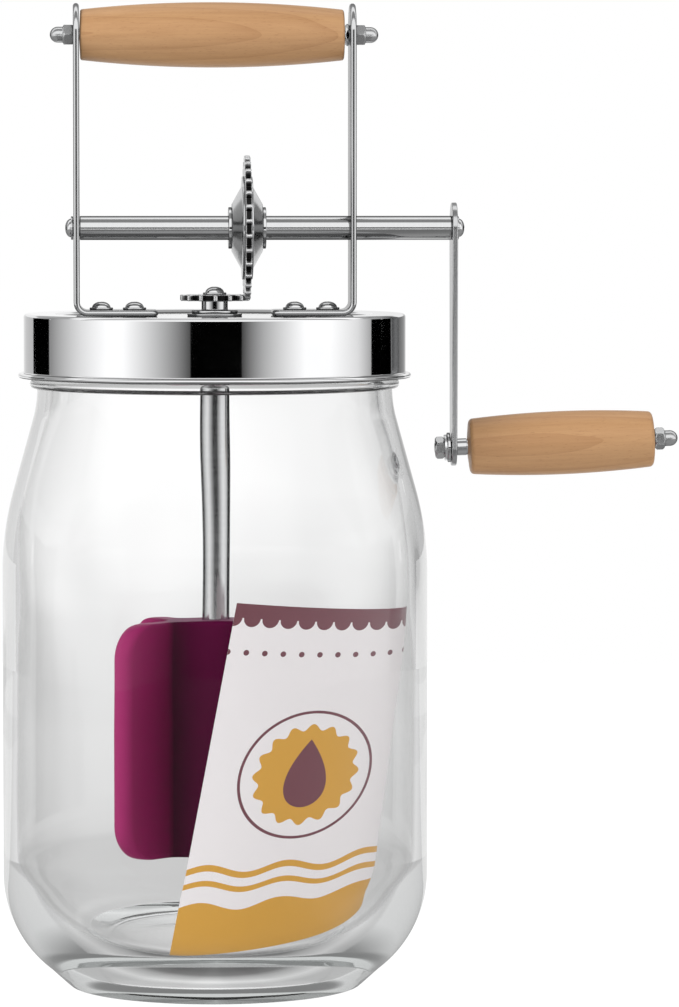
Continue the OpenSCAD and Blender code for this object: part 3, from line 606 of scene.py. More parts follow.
lid_outline = (
    [(0, lid_under_z), (panel_r + lid_sheet * fold, lid_under_z),
     (rim_in_r + lid_sheet * fold, lid_rim_z - lid_sheet)]
    + arc(lid_in_r - lid_in_edge, lid_rim_z - lid_sheet - lid_in_edge, lid_in_edge, 90, 0, 8)
    + [(lid_in_r, roll_z + roll_lip), (lid_in_r + roll_lip, roll_z)]
    + arc(lid_r + roll_out - roll_h / 2, roll_z + roll_h / 2, roll_h / 2, -90, 105, 14)
    + arc(lid_r + roll_bend, roll_z + roll_h + roll_lip, roll_bend, 255, 180, 4)
    + arc(lid_r - lid_edge, lid_rim_z - lid_edge, lid_edge, 0, 90, 12)
    + arc(rim_in_r + panel_bend * fold, lid_rim_z - panel_bend, panel_bend, 90, 90 + slope, 5)
    + arc(panel_r - panel_bend * fold, lid_top_z + panel_bend, panel_bend, 270 + slope, 270, 5)
    + [(0, lid_top_z)])
mirror_chrome, wire = new_finish("mirror_chrome")
place = wire.node("TexCoord", out="Object")
smear = noise(wire, 45, 4, place)
across, depth, rise = place.parts()
within = hypotenuse(across, depth) < (lid_in_r + lid_sheet / 2) * MM
# Near black inside the cap, as a lacquer lining that also stands for the shade in there, and under the
# rolled edge, as painted shade.
lacquer_and_shade = within * (rise < (lid_under_z + lid_sheet / 2) * MM)
lacquer_and_shade = wire.math("MAXIMUM", lacquer_and_shade, rise < (roll_z + lid_sheet / 2) * MM)
shine = smear.mix((0.86, 0.865, 0.875, 1), (0.93, 0.93, 0.935, 1))
surface(wire, {"Base Color": lacquer_and_shade.mix(shine, grey(0.03)), "Metallic": 1 - lacquer_and_shade,
               "Roughness": 0.02 + smear * 0.05 + lacquer_and_shade * 0.4})
piece("lid_shell", turned(lid_outline, 256), mirror_chrome, "lid", "lid_cap")


# Brackets
# Two strips of bright steel, bent at the foot and rounded at the top. Each foot is screwed to
# the lid, and the uprights carry the crank shaft and the carrying handle.
def bright_steel(name, shade, roughness, grain, shade_attribute=None, groove=0.05, rim=0.1):
    """Bright steel with fine drawing lines; grain gives how close they lie along each axis, groove
    how deep they are, rim how bright it is aslant, and shade_attribute names an attribute of painted shade
    that darkens it."""
    finish, wire = new_finish(name)
    place = wire.node("TexCoord", out="Object")
    lines = noise(wire, 1, 5, wire.node("Mapping", {"Vector": place, "Scale": grain}))
    pale, dull = ((level, level + 0.005 * share, level + 0.01 * share, 1)
                  for level, share in ((shade, 1), (shade * 0.9, 0.9)))
    tone = lines.mix(dull, pale)
    if shade_attribute:
        # Painted shade: the named attribute darkens the steel to near black.
        tone = wire.node("Attribute", out="Fac", attribute_name=shade_attribute).mix(tone, grey(0.02))
    surface(wire, {"Base Color": tone, "Metallic": 1, "Roughness": roughness * 0.7 + lines * roughness * 0.6,
                   "Specular Tint": grey(rim), "Normal": bump(wire, lines, groove, 0.0001)})
    return finish


def plate(outline, thickness, edge):
    """A plate with rounded edges from a flat outline, its lower face at height 0."""
    made = bmesh.new()
    base = made.faces.new([made.verts.new((x, y, 0)) for x, y in outline])
    top = bmesh.ops.extrude_face_region(made, geom=[base])["geom"]
    raised = [v for v in top if isinstance(v, bmesh.types.BMVert)]
    bmesh.ops.translate(made, vec=(0, 0, thickness), verts=raised)
    bmesh.ops.recalc_face_normals(made, faces=made.faces)
    caps = [f for f in made.faces if abs(f.normal.z) > 0.5]
    bmesh.ops.bevel(made, geom=[e for f in caps for e in f.edges], offset=edge, segments=6,
                    profile=0.5, affect="EDGES")
    return made


def blank(shape):
    """A bare object of a shape, for a modifier to work with."""
    made = bpy.data.objects.new("blank", bpy.data.meshes.new("blank"))
    shape.to_mesh(made.data)
    shape.free()
    scene.collection.objects.link(made)
    return made


def cut_out(*shapes):
    """The first shape with the others' volumes taken out of it."""
    blanks = [blank(shape) for shape in shapes]
    for tool in blanks[1:]:
        change = blanks[0].modifiers.new("cut", "BOOLEAN")
        change.object = tool
        change.solver = "EXACT"
    left = bmesh.new()
    left.from_object(blanks[0], bpy.context.evaluated_depsgraph_get())
    for used in blanks:
        bpy.data.meshes.remove(used.data)
    return left


def to_x(x, z, side=1):
    """Lays what was made along +Z along the X axis, at this place."""
    return Matrix.Translation((x, 0, z)) @ Matrix.Rotation(side * pi / 2, 4, "Y")


def up(height):
    """Lifts what was made on height 0."""
    return Matrix.Translation((0, 0, height))


def drill(radius, place):
    """A long cutter for a round hole."""
    made = turned([(0, -drill_half), (radius, -drill_half), (radius, drill_half), (0, drill_half)], 48)
    made.transform(place)
    return made


bracket_low, bracket_high = span("right_bracket")
bracket_x = bracket_high.x
strip_t = 2.2
strip_w = bracket_high.y - bracket_low.y
strip_edge = 1.05
bend_r = 5
foot_corner = 3
screw_xs = (29, 41)
screw_hole_r = 2.15
drill_half = 4
bend_steps = 14
shaft_z = sum(corner.z for corner in span("crank_shaft")) / 2
handle_z = sum(corner.z for corner in span("handle_rod")) / 2
bend_mid = (bend_r - strip_t / 2) * pi / 2
foot_l = bracket_x - bend_r - bracket_low.x
strip_l = foot_l + bend_mid + bracket_high.z - lid_top_z - bend_r
strip_steel = bright_steel("strip_steel", 0.7, 0.13, (900, 900, 25), groove=0.02, rim=0.4)


def bent(made):
    """Bends a flat strip into a bracket: foot on the lid, then upright."""
    for k in range(bend_steps + 1):
        bmesh.ops.bisect_plane(made, geom=made.verts[:] + made.edges[:] + made.faces[:],
                               plane_co=(foot_l + bend_mid * k / bend_steps, 0, 0), plane_no=(1, 0, 0))
    for vert in made.verts:
        along, depth = vert.co.x, vert.co.z
        angle = min(max(along - foot_l, 0) / bend_mid, 1) * pi / 2
        run, climb = min(along - foot_l, 0), max(along - foot_l - bend_mid, 0)
        vert.co.x = bracket_x - bend_r + run + (bend_r - depth) * sin(angle)
        vert.co.z = lid_top_z + bend_r + climb - (bend_r - depth) * cos(angle)
    return made


for name, side, shaft_hole in (("left_bracket", -1, 3.05), ("right_bracket", 1, 4.4)):
    half = strip_w / 2
    outline = (arc(foot_corner, foot_corner - half, foot_corner, 180, 270, 6)
               + arc(strip_l - half, 0, half, -90, 90, 40)
               + arc(foot_corner, half - foot_corner, foot_corner, 90, 180, 6))
    holes = [drill(screw_hole_r, Matrix.Translation((x, 0, lid_top_z))) for x in screw_xs]
    holes.append(drill(shaft_hole, to_x(bracket_x, shaft_z)))
    holes.append(drill(screw_hole_r, to_x(bracket_x, handle_z)))
    strip = cut_out(bent(plate(outline, strip_t, strip_edge)), *holes)
    if side < 0:
        strip.transform(Matrix.Diagonal((-1, 1, 1, 1)))
        bmesh.ops.reverse_faces(strip, faces=strip.faces)
    piece(name + "_strip", strip, strip_steel, "lid", name)


# Bracket screws and nuts
# Four flanged pan-head screws with a cross recess hold the brackets' feet, each with a
# hexagon nut under the lid.
def pan_screw(thread_r, long):
    """A screw whose head stands on height 0 and whose thread points down."""
    thread = []
    for k in range(int((long - screw_bare) / screw_pitch)):
        low = k * screw_pitch - long
        thread += [(thread_r - screw_groove, low + root_up), (thread_r, low + crest_up)]
    dome = [(head_r * x, flange_h + head_h * y) for x, y in arc(0, 0, 1, 0, 90, 12)[:-1]]
    outline = ([(0, -long), (thread_r - screw_point, -long)] + thread
               + [(thread_r, -screw_neck), (thread_r, 0)]
               + rounded(flange_r, 0, flange_h, flange_edge) + dome + [(0, flange_h + head_h)])
    slots = []
    for k in range(2):
        slot = bmesh.new()
        bmesh.ops.create_cube(slot, size=1)
        slot.transform(Matrix.Rotation(k * pi / 2 + recess_turn, 4, "Z")
                       @ up(flange_h + head_h - recess_d + recess_cut / 2)
                       @ Matrix.Diagonal((recess_l, recess_w, recess_cut, 1)))
        slots.append(slot)
    return cut_out(turned(outline, 48), *slots)


def hexagon(across_flats):
    """Holds a turned shape within a hexagon."""
    def within(index, radius, height, angle):
        corner = (angle + pi / 6) % (pi / 3) - pi / 6
        return min(radius, across_flats / 2 / cos(pi / 6 - abs(corner)))
    return within


def hex_outline(across_flats, low, high, chamfer=0.09):
    """Outer outline of a hexagon nut with its corners turned off, from below to above."""
    corner_r = across_flats / 2 / cos(pi / 6)
    flat_r = across_flats / 2 * nut_face
    rise = chamfer * across_flats
    below = [(flat_r, low), *rows((flat_r, low), (corner_r, low + rise), 4), (corner_r, low + rise)]
    return below + [(r, low + high - z) for r, z in reversed(below)]


def nut(across_flats, height, bore):
    """A hexagon nut on height 0."""
    return turned([(bore, nut_edge), (bore + nut_edge, 0)] + hex_outline(across_flats, 0, height)
                  + [(bore + nut_edge, height), (bore, height - nut_edge)], 96, hexagon(across_flats))


def node_tree(name, inputs):
    """A tree of geometry nodes with these named inputs, and the wires that bring them in."""
    tree = bpy.data.node_groups.new(name, "GeometryNodeTree")
    tree.interface.new_socket("Geometry", in_out="OUTPUT", socket_type="NodeSocketGeometry")
    for label, kind in inputs.items():
        tree.interface.new_socket(label, in_out="INPUT", socket_type="NodeSocket" + kind)
    given = tree.nodes.new("NodeGroupInput")
    return tree, {label: Wire(tree, given.outputs[label]) for label in inputs}


def end_tree(geometry, finish):
    """Makes the tree's copies real, gives them their finish and ends the tree."""
    real = geometry.node("GeometryNodeRealizeInstances", {"Geometry": geometry})
    dressed = real.node("GeometryNodeSetMaterial", {"Geometry": real, "Material": finish})
    dressed.node("NodeGroupOutput", {"Geometry": dressed})


def grown(tree, values):
    """The shape that a tree makes from the values of its named inputs."""
    base = blank(bmesh.new())
    change = base.modifiers.new("grow", "NODES")
    change.node_group = tree
    for item in tree.interface.items_tree:
        if item.in_out == "INPUT":
            change[item.identifier] = values[item.name]
    mesh = bpy.data.meshes.new_from_object(base.evaluated_get(bpy.context.evaluated_depsgraph_get()))
    made = bmesh.new()
    made.from_mesh(mesh)
    bpy.data.meshes.remove(mesh)
    bpy.data.meshes.remove(base.data)
    bmesh.ops.recalc_face_normals(made, faces=made.faces)
    return made


flange_r = 4.25
flange_h = 0.8
flange_edge = 0.3
head_r = 3.35
head_h = 2.1
recess_l = 3.2
recess_w = 0.8
recess_d = 0.9
recess_cut = 2
recess_turn = 0.4
screw_pitch = 0.7
screw_bare = 1
screw_point = 0.5
screw_neck = 0.3
screw_groove = 0.25
root_up, crest_up = 0.5, 0.85
nut_af = 7
nut_h = 3.2
nut_edge = 0.3
nut_face = 0.98
fit = 0.05
thread_r = 2
bracket_screw_l = 7.6
strip_top_z = lid_top_z + strip_t
screw_steel = bright_steel("screw_steel", 0.8, 0.08, (300, 300, 300))
nut_steel = bright_steel("nut_steel", 0.7, 0.24, (300, 300, 300))
fastener_rows, given = node_tree("fastener_rows", {
    "Fastener": "Object", "Inner Distance": "Float", "Pitch": "Float", "Height": "Float",
    "Finish": "Material"})
start = given["Height"].node("CombineXYZ", {
    0: given["Inner Distance"], 2: given["Height"]})
step = start.node("CombineXYZ", {0: given["Pitch"]})
right = start.node("GeometryNodeMeshLine", {"Count": 2, "Start Location": start, "Offset": step})
left = right.node("GeometryNodeTransform", {"Geometry": right, "Scale": (-1, 1, 1)})
both = left.node("GeometryNodeJoinGeometry", {"Geometry": left})
left.tree.links.new(right.socket, both.socket.node.inputs["Geometry"])
fastener = both.node("GeometryNodeObjectInfo", {"Object": given["Fastener"]}, out="Geometry")
set_out = both.node("GeometryNodeInstanceOnPoints", {"Points": both, "Instance": fastener})
end_tree(set_out, given["Finish"])
for name, pattern, height in (
        ("bracket_screws", pan_screw(thread_r, bracket_screw_l), strip_top_z),
        ("bracket_nuts", nut(nut_af, nut_h, thread_r + fit), lid_under_z - nut_h)):
    single = blank(pattern)
    row = grown(fastener_rows, {
        "Fastener": single, "Inner Distance": float(screw_xs[0]), "Pitch": float(screw_xs[1] - screw_xs[0]),
        "Height": height, "Finish": screw_steel})
    bpy.data.meshes.remove(single.data)
    piece(name + "_set", row, screw_steel, "lid", name)


# Bush, its washer and its nut
# A turned steel bush guides the dasher through the lid. Its head clamps a washer on top of the
# lid, and a large nut holds it from below.
bush_low, bush_high = span("lid_bush")
bush_washer_t = 0.8
bush_head_z = lid_top_z + bush_washer_t
bush_head_t = 1.3
bush_head_r = 8.35
bush_head_edge = 0.5
sleeve_r = 4.75
sleeve_edge = 0.3
bush_r = 7
bush_bore = 3.55
bush_point = 0.6
bush_neck = 1
bush_groove = 0.45
bush_half_pitch = 0.5
bush_half_turns = 15
bush_nut_af = 19
bush_nut_h = 4
washer_edge = 0.25
washer_play = 0.15
turned_steel = bright_steel("turned_steel", 0.76, 0.08, (60, 60, 1500))
bush_outline = (
    [(bush_bore, bush_low.z), (bush_r - bush_point, bush_low.z)]
    + [(bush_r - (k % 2) * bush_groove, bush_low.z + bush_point + k * bush_half_pitch)
       for k in range(bush_half_turns)]
    + [(bush_r, bush_head_z - bush_neck), (bush_r, bush_head_z)]
    + arc(bush_head_r - washer_edge, bush_head_z + washer_edge, washer_edge, -90, 0, 4)
    + arc(bush_head_r - bush_head_edge, bush_head_z + bush_head_t - bush_head_edge, bush_head_edge, 0, 90, 5)
    + arc(sleeve_r + sleeve_edge, bush_head_z + bush_head_t + sleeve_edge, sleeve_edge, 270, 180, 3)
    + arc(sleeve_r - sleeve_edge, bush_high.z - sleeve_edge, sleeve_edge, 0, 90, 4)
    + [(bush_bore, bush_high.z)])
washer_low, washer_high = span("bush_washer")
washer_outline = ring_outline(bush_r + washer_play, washer_high.x, washer_low.z, washer_high.z, washer_edge)
piece("bush_body", turned(bush_outline), turned_steel, "lid", "lid_bush")
piece("bush_plate", turned(washer_outline), turned_steel, "lid", "bush_washer")
piece("bush_lock_nut", nut(bush_nut_af, bush_nut_h, bush_r + fit), screw_steel, "lid", "bush_nut",
      up(lid_under_z - bush_nut_h))


# Carrying handle
# A turned beech grip, thicker in the middle, on a threaded rod between the brackets' heads.
# Dome nuts close the rod's ends, and a thin nut keeps the grip from the right bracket.
def beech(name, tilt, shift, ring_slope):
    """Pale beech with its grain along X, turned by a tilt, under a thin clear varnish. The growth
    rings lie round an axis that slopes out of the grip's front."""
    finish, wire = new_finish(name)
    place = wire.node("TexCoord", out="Object")
    place = wire.node("Mapping", {
        "Vector": place, "Location": shift, "Rotation": (0, tilt, 0)})

    def along(scale, detail, rough=0.5):
        close = wire.node("Mapping", {"Vector": place, "Scale": scale})
        return noise(wire, 1, detail, close, rough)

    drift = along((9, 60, 60), 2)
    streak = along((22, 700, 700), 5, 0.65)
    fleck = along((420, 2600, 2600), 2)
    run, deep, high = place.parts()
    far = hypotenuse(deep + run * ring_slope, high) / ring_gap + drift * 1.2
    ring = wire.math("FRACT", far) ** 5
    pore = wire.math("MINIMUM", wire.math("MAXIMUM", (fleck - 0.6) * 8, 0), 1)
    tone = (streak * 0.55 + drift * 0.4 - ring * 0.2 - pore * 0.22 + 0.1).mix(
        (0.34, 0.15, 0.05, 1), (0.67, 0.395, 0.19, 1))
    surface(wire, {"Base Color": tone, "Roughness": 0.4 + streak * 0.18, "Coat Weight": 0.3,
                   "Coat Roughness": 0.3, "Normal": bump(wire, streak, 0.12, 0.0003)})
    return finish


def grip_outline(length, end_r, mid_r, bore, edge, bulge):
    """Outline of a grip with a swelling middle and slightly domed ends, on height 0."""
    swell = mid_r - end_r
    bow = ((length / 2) ** 2 + swell ** 2) / (2 * swell)
    bow_angle = degrees(asin((length / 2 - edge) / bow))
    side = arc(mid_r - bow, length / 2, bow, -bow_angle, bow_angle, 48)
    edge_r = side[0][0] - edge
    return ([(bore, length + bulge - flare_h), (bore, flare_h - bulge), (bore + flare_w, -bulge)]
            + arc(edge_r, edge, edge, 270, 360 - bow_angle, 8) + side[1:]
            + arc(edge_r, length - edge, edge, bow_angle, 90, 8)[1:]
            + [(bore + flare_w, length + bulge)])


def dome_nut():
    """A dome nut with its hexagon on height 0."""
    tip = cap_hex_h + cap_h
    return turned([(0, 0)] + hex_outline(nut_af, 0, cap_hex_h)
                  + [(cap_r + cap_bend, cap_hex_h), (cap_r, cap_hex_h + cap_bend)]
                  + arc(0, tip - cap_r, cap_r, 0, 90, 14)[:-1] + [(0, tip)], 96, hexagon(nut_af))


ring_gap = 0.0058
flare_h = 0.3
flare_w = 0.4
handle_edge = 0.9
handle_bulge = 0.3
handle_end_r = 9.1
handle_mid_r = 11.75
rod_r = 2.05
cap_hex_h = 3.4
cap_r = 2.85
cap_h = 4.9
cap_bend = 0.35
lock_nut_h = 1.5
grip_low, grip_high = span("handle_grip")
handle_l = grip_high.x - grip_low.x - 2 * handle_bulge
handle_outline = grip_outline(handle_l, handle_end_r, handle_mid_r, rod_r, handle_edge, handle_bulge)
handle_grip = piece(
    "carry_grip", turned(handle_outline, 128),
    beech("handle_beech", 0, (0.05, 0.0117, -handle_z * MM), 0.125),
    "carry_handle", "handle_grip", to_x(grip_low.x + handle_bulge, handle_z))
handle_grip.visible_glossy = False
for name, side in (("left_handle_dome_nut", -1), ("right_handle_dome_nut", 1)):
    piece(name[:-4] + "_cap", dome_nut(), nut_steel, "lid", name,
          to_x(side * bracket_x, handle_z, side) @ Matrix.Rotation(pi / 6, 4, "Z"))
piece("handle_thin_nut", nut(nut_af, lock_nut_h, rod_r), screw_steel, "lid", "handle_lock_nut",
      to_x(bracket_x - strip_t - lock_nut_h, handle_z))
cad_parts["handle_rod"].data.materials.clear()
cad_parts["handle_rod"].data.materials.append(turned_steel)


# Crank shaft
# A ground steel shaft that turns in both brackets, with a screw in its left end and a square
# for the crank arm on its right end.
shaft_low, shaft_high = span("crank_shaft")
shaft_r = 4.35
journal_r = 3
shaft_square = 5.6
arm_low, arm_high = span("crank_arm")
shaft_edge = 0.3
shaft_play = 0.1
square_corner = 0.6
square_step = 0.02
crank_screw_l = 10
body_x = -bracket_x + strip_t + shaft_play


def shaft_radius(index, radius, height, angle):
    """Makes the shaft's right end square."""
    if height > arm_low.x + square_step / 2:
        corner = (angle + pi / 4) % (pi / 2) - pi / 4
        return min(radius, shaft_square / 2 / cos(corner))
    return radius


shaft_outline = (
    [(0, shaft_low.x), (journal_r, shaft_low.x), (journal_r, body_x)]
    + rounded(shaft_r, body_x, arm_low.x, shaft_edge)
    + [(shaft_r - square_corner, arm_low.x + square_step), (shaft_r - square_corner, shaft_high.x),
       (0, shaft_high.x)])
ground_steel = bright_steel("ground_steel", 0.74, 0.09, (1400, 40, 40))
piece("shaft_bar", turned(shaft_outline, 96, shaft_radius), ground_steel, "crank", "crank_shaft",
      to_x(0, shaft_z))
piece("shaft_left_screw", pan_screw(thread_r, crank_screw_l), screw_steel,
      "crank", "shaft_end_screw", to_x(-bracket_x - shaft_play, shaft_z, -1))


# Gears
# Two stamped steel wheels with round-tipped teeth: the large one stands on the crank shaft, and
# the small one lies on the dasher's top and turns it. The teeth's faces are painted dark towards
# the roots of the gaps, as shade.
teeth_steps = 28
wheel_rows = 7
tip_row, tip_reach = 2.5, 0.6
gap_shade_rise = 1.4
merge_within = 0.002
wheel_tree, given = node_tree("toothed_wheel", {
    "Teeth": "Int", "Pitch Radius": "Float", "Tooth Out": "Float", "Tooth In": "Float",
    "Root Width": "Float", "Tip Width": "Float", "Thickness": "Float", "Bore": "Float",
    "Edge": "Float", "First Tooth": "Float", "Finish": "Material"})
teeth = given["Teeth"]
sheet = teeth.node("GeometryNodeMeshGrid", {
    "Size X": 1, "Size Y": 1, "Vertices X": teeth * teeth_steps + 1, "Vertices Y": wheel_rows})
across, along, _ = teeth.node("GeometryNodeInputPosition").parts()
share = across + 0.5
level = teeth.math("ROUND", (along + 0.5) * (wheel_rows - 1))
beside = abs(share * teeth - teeth.math("ROUND", share * teeth)) / teeth * (2 * pi)
pitch_r, tooth_out, tooth_in, bore, edge, thick = (given[label] for label in (
    "Pitch Radius", "Tooth Out", "Tooth In", "Bore", "Edge", "Thickness"))
beside = beside * pitch_r
round_r = given["Tip Width"] / 2
root_r = pitch_r - tooth_in
flank = teeth.node("MapRange", {
    "Value": beside, "From Min": round_r, "From Max": given["Root Width"] / 2,
    "To Min": pitch_r + tooth_out - round_r, "To Max": root_r})
outside = flank + teeth.math("SQRT", teeth.math("MAXIMUM", round_r * round_r - beside * beside, 0))
inset = outside - edge
radius, height = (
    teeth.node("GeometryNodeIndexSwitch", dict(enumerate((level, *steps))), data_type="FLOAT",
               items=wheel_rows)
    for steps in ((bore, inset, outside, outside, inset, bore, bore),
                  (0, 0, edge, thick - edge, thick, thick, 0)))
angle = share * (2 * pi) + given["First Tooth"]
rolled = teeth.node("CombineXYZ", {
    0: radius * teeth.math("COSINE", angle), 1: radius * teeth.math("SINE", angle), 2: height})
depth = 1 - (outside - root_r) / (tooth_in + tooth_out)
# Painted shade: the teeth's outer faces darken towards the roots of the gaps between them.
gap = teeth.math("COMPARE", level, tip_row, tip_reach) * teeth.math("MINIMUM", depth * gap_shade_rise, 1)
sheet = teeth.node("GeometryNodeStoreNamedAttribute", {"Geometry": sheet, "Name": "gap", "Value": gap},
                   data_type="FLOAT", domain="POINT")
wheel = teeth.node("GeometryNodeSetPosition", {"Geometry": sheet, "Position": rolled})
wheel = teeth.node("GeometryNodeMergeByDistance", {"Geometry": wheel, "Distance": merge_within})
end_tree(wheel, given["Finish"])

gear_module = 1.68
drive_teeth, driven_teeth = 30, 14
driven_bore = 2.6
gear_screw_r = 1.5
gear_t = 2.2
gear_sizes = {"Tooth Out": 1.0, "Tooth In": 1.6, "Root Width": 2.3, "Tip Width": 1.7,
              "Thickness": gear_t, "Edge": 0.3}
stamped_steel = bright_steel("stamped_steel", 0.97, 0.3, (260, 260, 260), "gap", rim=0.9)
drive_low, drive_high = span("drive_gear")
driven_low, driven_high = span("driven_gear")
for name, body, count, bore, first, place in (
        ("drive_gear", "crank", drive_teeth, shaft_r + fit, 0.0, to_x(drive_low.x, shaft_z)),
        ("driven_gear", "dasher", driven_teeth, driven_bore, pi / driven_teeth, up(driven_low.z))):
    toothed = grown(wheel_tree, {**gear_sizes, "Teeth": count, "Pitch Radius": count * gear_module / 2,
                                 "Bore": bore, "First Tooth": first, "Finish": stamped_steel})
    piece(name + "_wheel", toothed, stamped_steel, body, name, place)
piece("driven_gear_screw", pan_screw(gear_screw_r, crank_screw_l), screw_steel,
      "dasher", "gear_screw", up(driven_high.z))


# Gear dishes and collars
# Two pressed steel dishes clamp the large gear, and a collar on each side holds them on the
# shaft.
dish_rim_r = 18.7
dish_rim_t = 0.8
dish_foot_r = 15.2
dish_top_r = 9
dish_h = 3.7
collar_r = 7.5
collar_t = 1.2
dish_edge = 0.25
dish_bore = shaft_r + fit
dish_bow = 0.02
dish_bend = 0.4
dish_steps = 10
dish_foot = (dish_foot_r, dish_rim_t)
dish_top = (dish_top_r - dish_bend, dish_rim_t + dish_h)
dish_outline = (
    [(dish_bore, 0)] + rounded(dish_rim_r, 0, dish_rim_t, dish_edge)
    + [(dish_foot_r + dish_bend, dish_rim_t)]
    + [(r, z + dish_bow * sin(pi * k / dish_steps)) for k, (r, z) in enumerate(
        [dish_foot, *rows(dish_foot, dish_top, dish_steps - 1), dish_top])]
    + [(dish_bore, dish_rim_t + dish_h)])
pressed_steel = bright_steel("pressed_steel", 0.7, 0.16, (2600, 60, 60), None, 0.2, 0.9)
dish_out = gear_t + 2 * (dish_rim_t + dish_h)
gear_mid_x = (drive_low.x + drive_high.x) / 2
collar_outline = ring_outline(dish_bore, collar_r, 0, collar_t, dish_edge)
for word, side in (("left", -1), ("right", 1)):
    piece(word + "_dish", turned(dish_outline), pressed_steel, "crank", word + "_gear_dish",
          to_x(gear_mid_x + side * gear_t / 2, shaft_z, side))
    piece(word + "_collar", turned(collar_outline), turned_steel,
          "crank", word + "_shaft_collar", to_x(gear_mid_x + side * dish_out / 2, shaft_z, side))


# Crank arm and its screw
# A flat bar of bright steel with round ends sits on the shaft's square, and a flanged screw
# holds it there.
arm_t = arm_high.x - arm_low.x
arm_top_r = arm_high.y
arm_low_r = 6.7
arm_edge = 0.4
crank_throw = arm_high.z - arm_low.z - arm_top_r - arm_low_r
pin_tilt = radians(2.25)
pin_place = (Matrix.Translation(((arm_low.x + arm_high.x) / 2, 0, shaft_z - crank_throw))
             @ Matrix.Rotation(pi / 2 - pin_tilt, 4, "Y"))
lean = degrees(acos((arm_top_r - arm_low_r) / crank_throw))
bar = plate(arc(0, 0, arm_top_r, lean, 360 - lean, 32) + arc(crank_throw, 0, arm_low_r, -lean, lean, 32),
            arm_t, arm_edge)
bar.transform(to_x(arm_low.x, shaft_z))
arm_steel = bright_steel("arm_steel", 0.64, 0.18, (900, 900, 25), rim=0.8)
square = bmesh.new()
bmesh.ops.create_cube(square, size=shaft_square + 2 * fit)
square.transform(Matrix.Translation((arm_low.x + arm_t / 2, 0, shaft_z)))
bar = cut_out(bar, square, drill(screw_hole_r, pin_place))
piece("crank_bar", bar, arm_steel, "crank", "crank_arm")
piece("crank_bar_screw", pan_screw(thread_r, crank_screw_l), screw_steel,
      "crank", "crank_arm_screw", to_x(arm_high.x, shaft_z))


# Crank grip and its pin
# A beech grip turns on a stepped steel pin that leans up a little. The pin's thread passes the
# arm and takes a flat washer, a split spring washer and a nut; a dome nut closes its far end.
def split_ring(inner, outer, height, slit):
    """A spring washer: a square wire bent to a ring with a slit."""
    made = bmesh.new()
    steps = 64
    section = [(inner, 0), (outer, 0), (outer, height), (inner, height)]
    loops = []
    for k in range(steps + 1):
        angle = pi / 2 + slit / 2 + (2 * pi - slit) * k / steps
        loops.append([made.verts.new((r * cos(angle), r * sin(angle), z)) for r, z in section])
    made.faces.new(loops[0])
    made.faces.new(loops[-1])
    bridged(made, loops)
    long_edges = [e for e in made.edges if e.calc_face_angle(0) > 1]
    bmesh.ops.bevel(made, geom=long_edges, offset=spring_edge, segments=2, profile=0.5,
                    affect="EDGES")
    return made


pin_r = 3.05
pin_core_r = 2.5
pin_bare = 3.7
pin_past = 0.3
pin_edge = 0.2
pin_washer_r = 5.35
pin_spring_r = 4.7
pin_washer_t = 1.1
crank_grip_l = 68.3
crank_grip_end_r = 10
crank_grip_mid_r = 11.5
grip_edge = 1.6
grip_bulge = 0.7
grip_gap = 0.2
tilt_least = 0.05
spring_slit = radians(12)
spring_edge = 0.15
pin_short = 1.45
pin_point = 0.4
pin_groove = 0.22
pin_half_pitch = 0.35
pin_half_turns = 20
pin_washer_u = -arm_t / 2 - pin_washer_r * tan(pin_tilt) - tilt_least - pin_washer_t
pin_spring_u = pin_washer_u - pin_washer_t
pin_nut_u = pin_spring_u - nut_h
pin_start_u = pin_nut_u - pin_past
pin_bare_u = arm_t / 2 + pin_r * tan(pin_tilt) + tilt_least
pin_core_u = pin_bare_u + pin_bare
grip_u = pin_core_u + grip_gap
pin_end_u = grip_u + crank_grip_l + grip_gap
pin_tip_u = pin_end_u + cap_hex_h + cap_h - pin_short
thread = [(thread_r - (k % 2) * pin_groove, pin_start_u + pin_half_pitch + pin_half_pitch * k)
          for k in range(pin_half_turns)]
pin_outline = (
    [(0, pin_start_u), (thread_r - pin_point, pin_start_u)] + thread
    + [(thread_r, pin_bare_u), (pin_r - pin_edge, pin_bare_u), (pin_r, pin_bare_u + pin_edge),
       (pin_r, pin_core_u - pin_edge), (pin_r - pin_edge, pin_core_u), (pin_core_r, pin_core_u),
       (pin_core_r, pin_end_u), (thread_r, pin_end_u), (thread_r, pin_tip_u), (0, pin_tip_u)])
for name, shape, finish, height in (
        ("crank_pin", turned(pin_outline, 64), turned_steel, 0),
        ("pin_washer", turned(ring_outline(screw_hole_r, pin_washer_r, 0, pin_washer_t, pin_edge), 64),
         turned_steel, pin_washer_u),
        ("pin_spring_washer", split_ring(screw_hole_r, pin_spring_r, pin_washer_t, spring_slit),
         stamped_steel, pin_spring_u),
        ("pin_nut", nut(nut_af, nut_h, thread_r + fit), nut_steel, pin_nut_u),
        ("pin_dome_nut", dome_nut(), nut_steel, pin_end_u)):
    piece(name + "_fit", shape, finish, "crank", name,
          pin_place @ up(height))
knob_outline = grip_outline(crank_grip_l - 2 * grip_bulge, crank_grip_end_r, crank_grip_mid_r,
                            pin_core_r + fit, grip_edge, grip_bulge)
knob = piece("knob_grip", turned(knob_outline, 128), beech("knob_beech", pin_tilt, (0.4, 0.02, -0.19), 0.03),
             "crank_knob", "crank_grip", pin_place @ up(grip_u + grip_bulge))
knob.visible_glossy = False


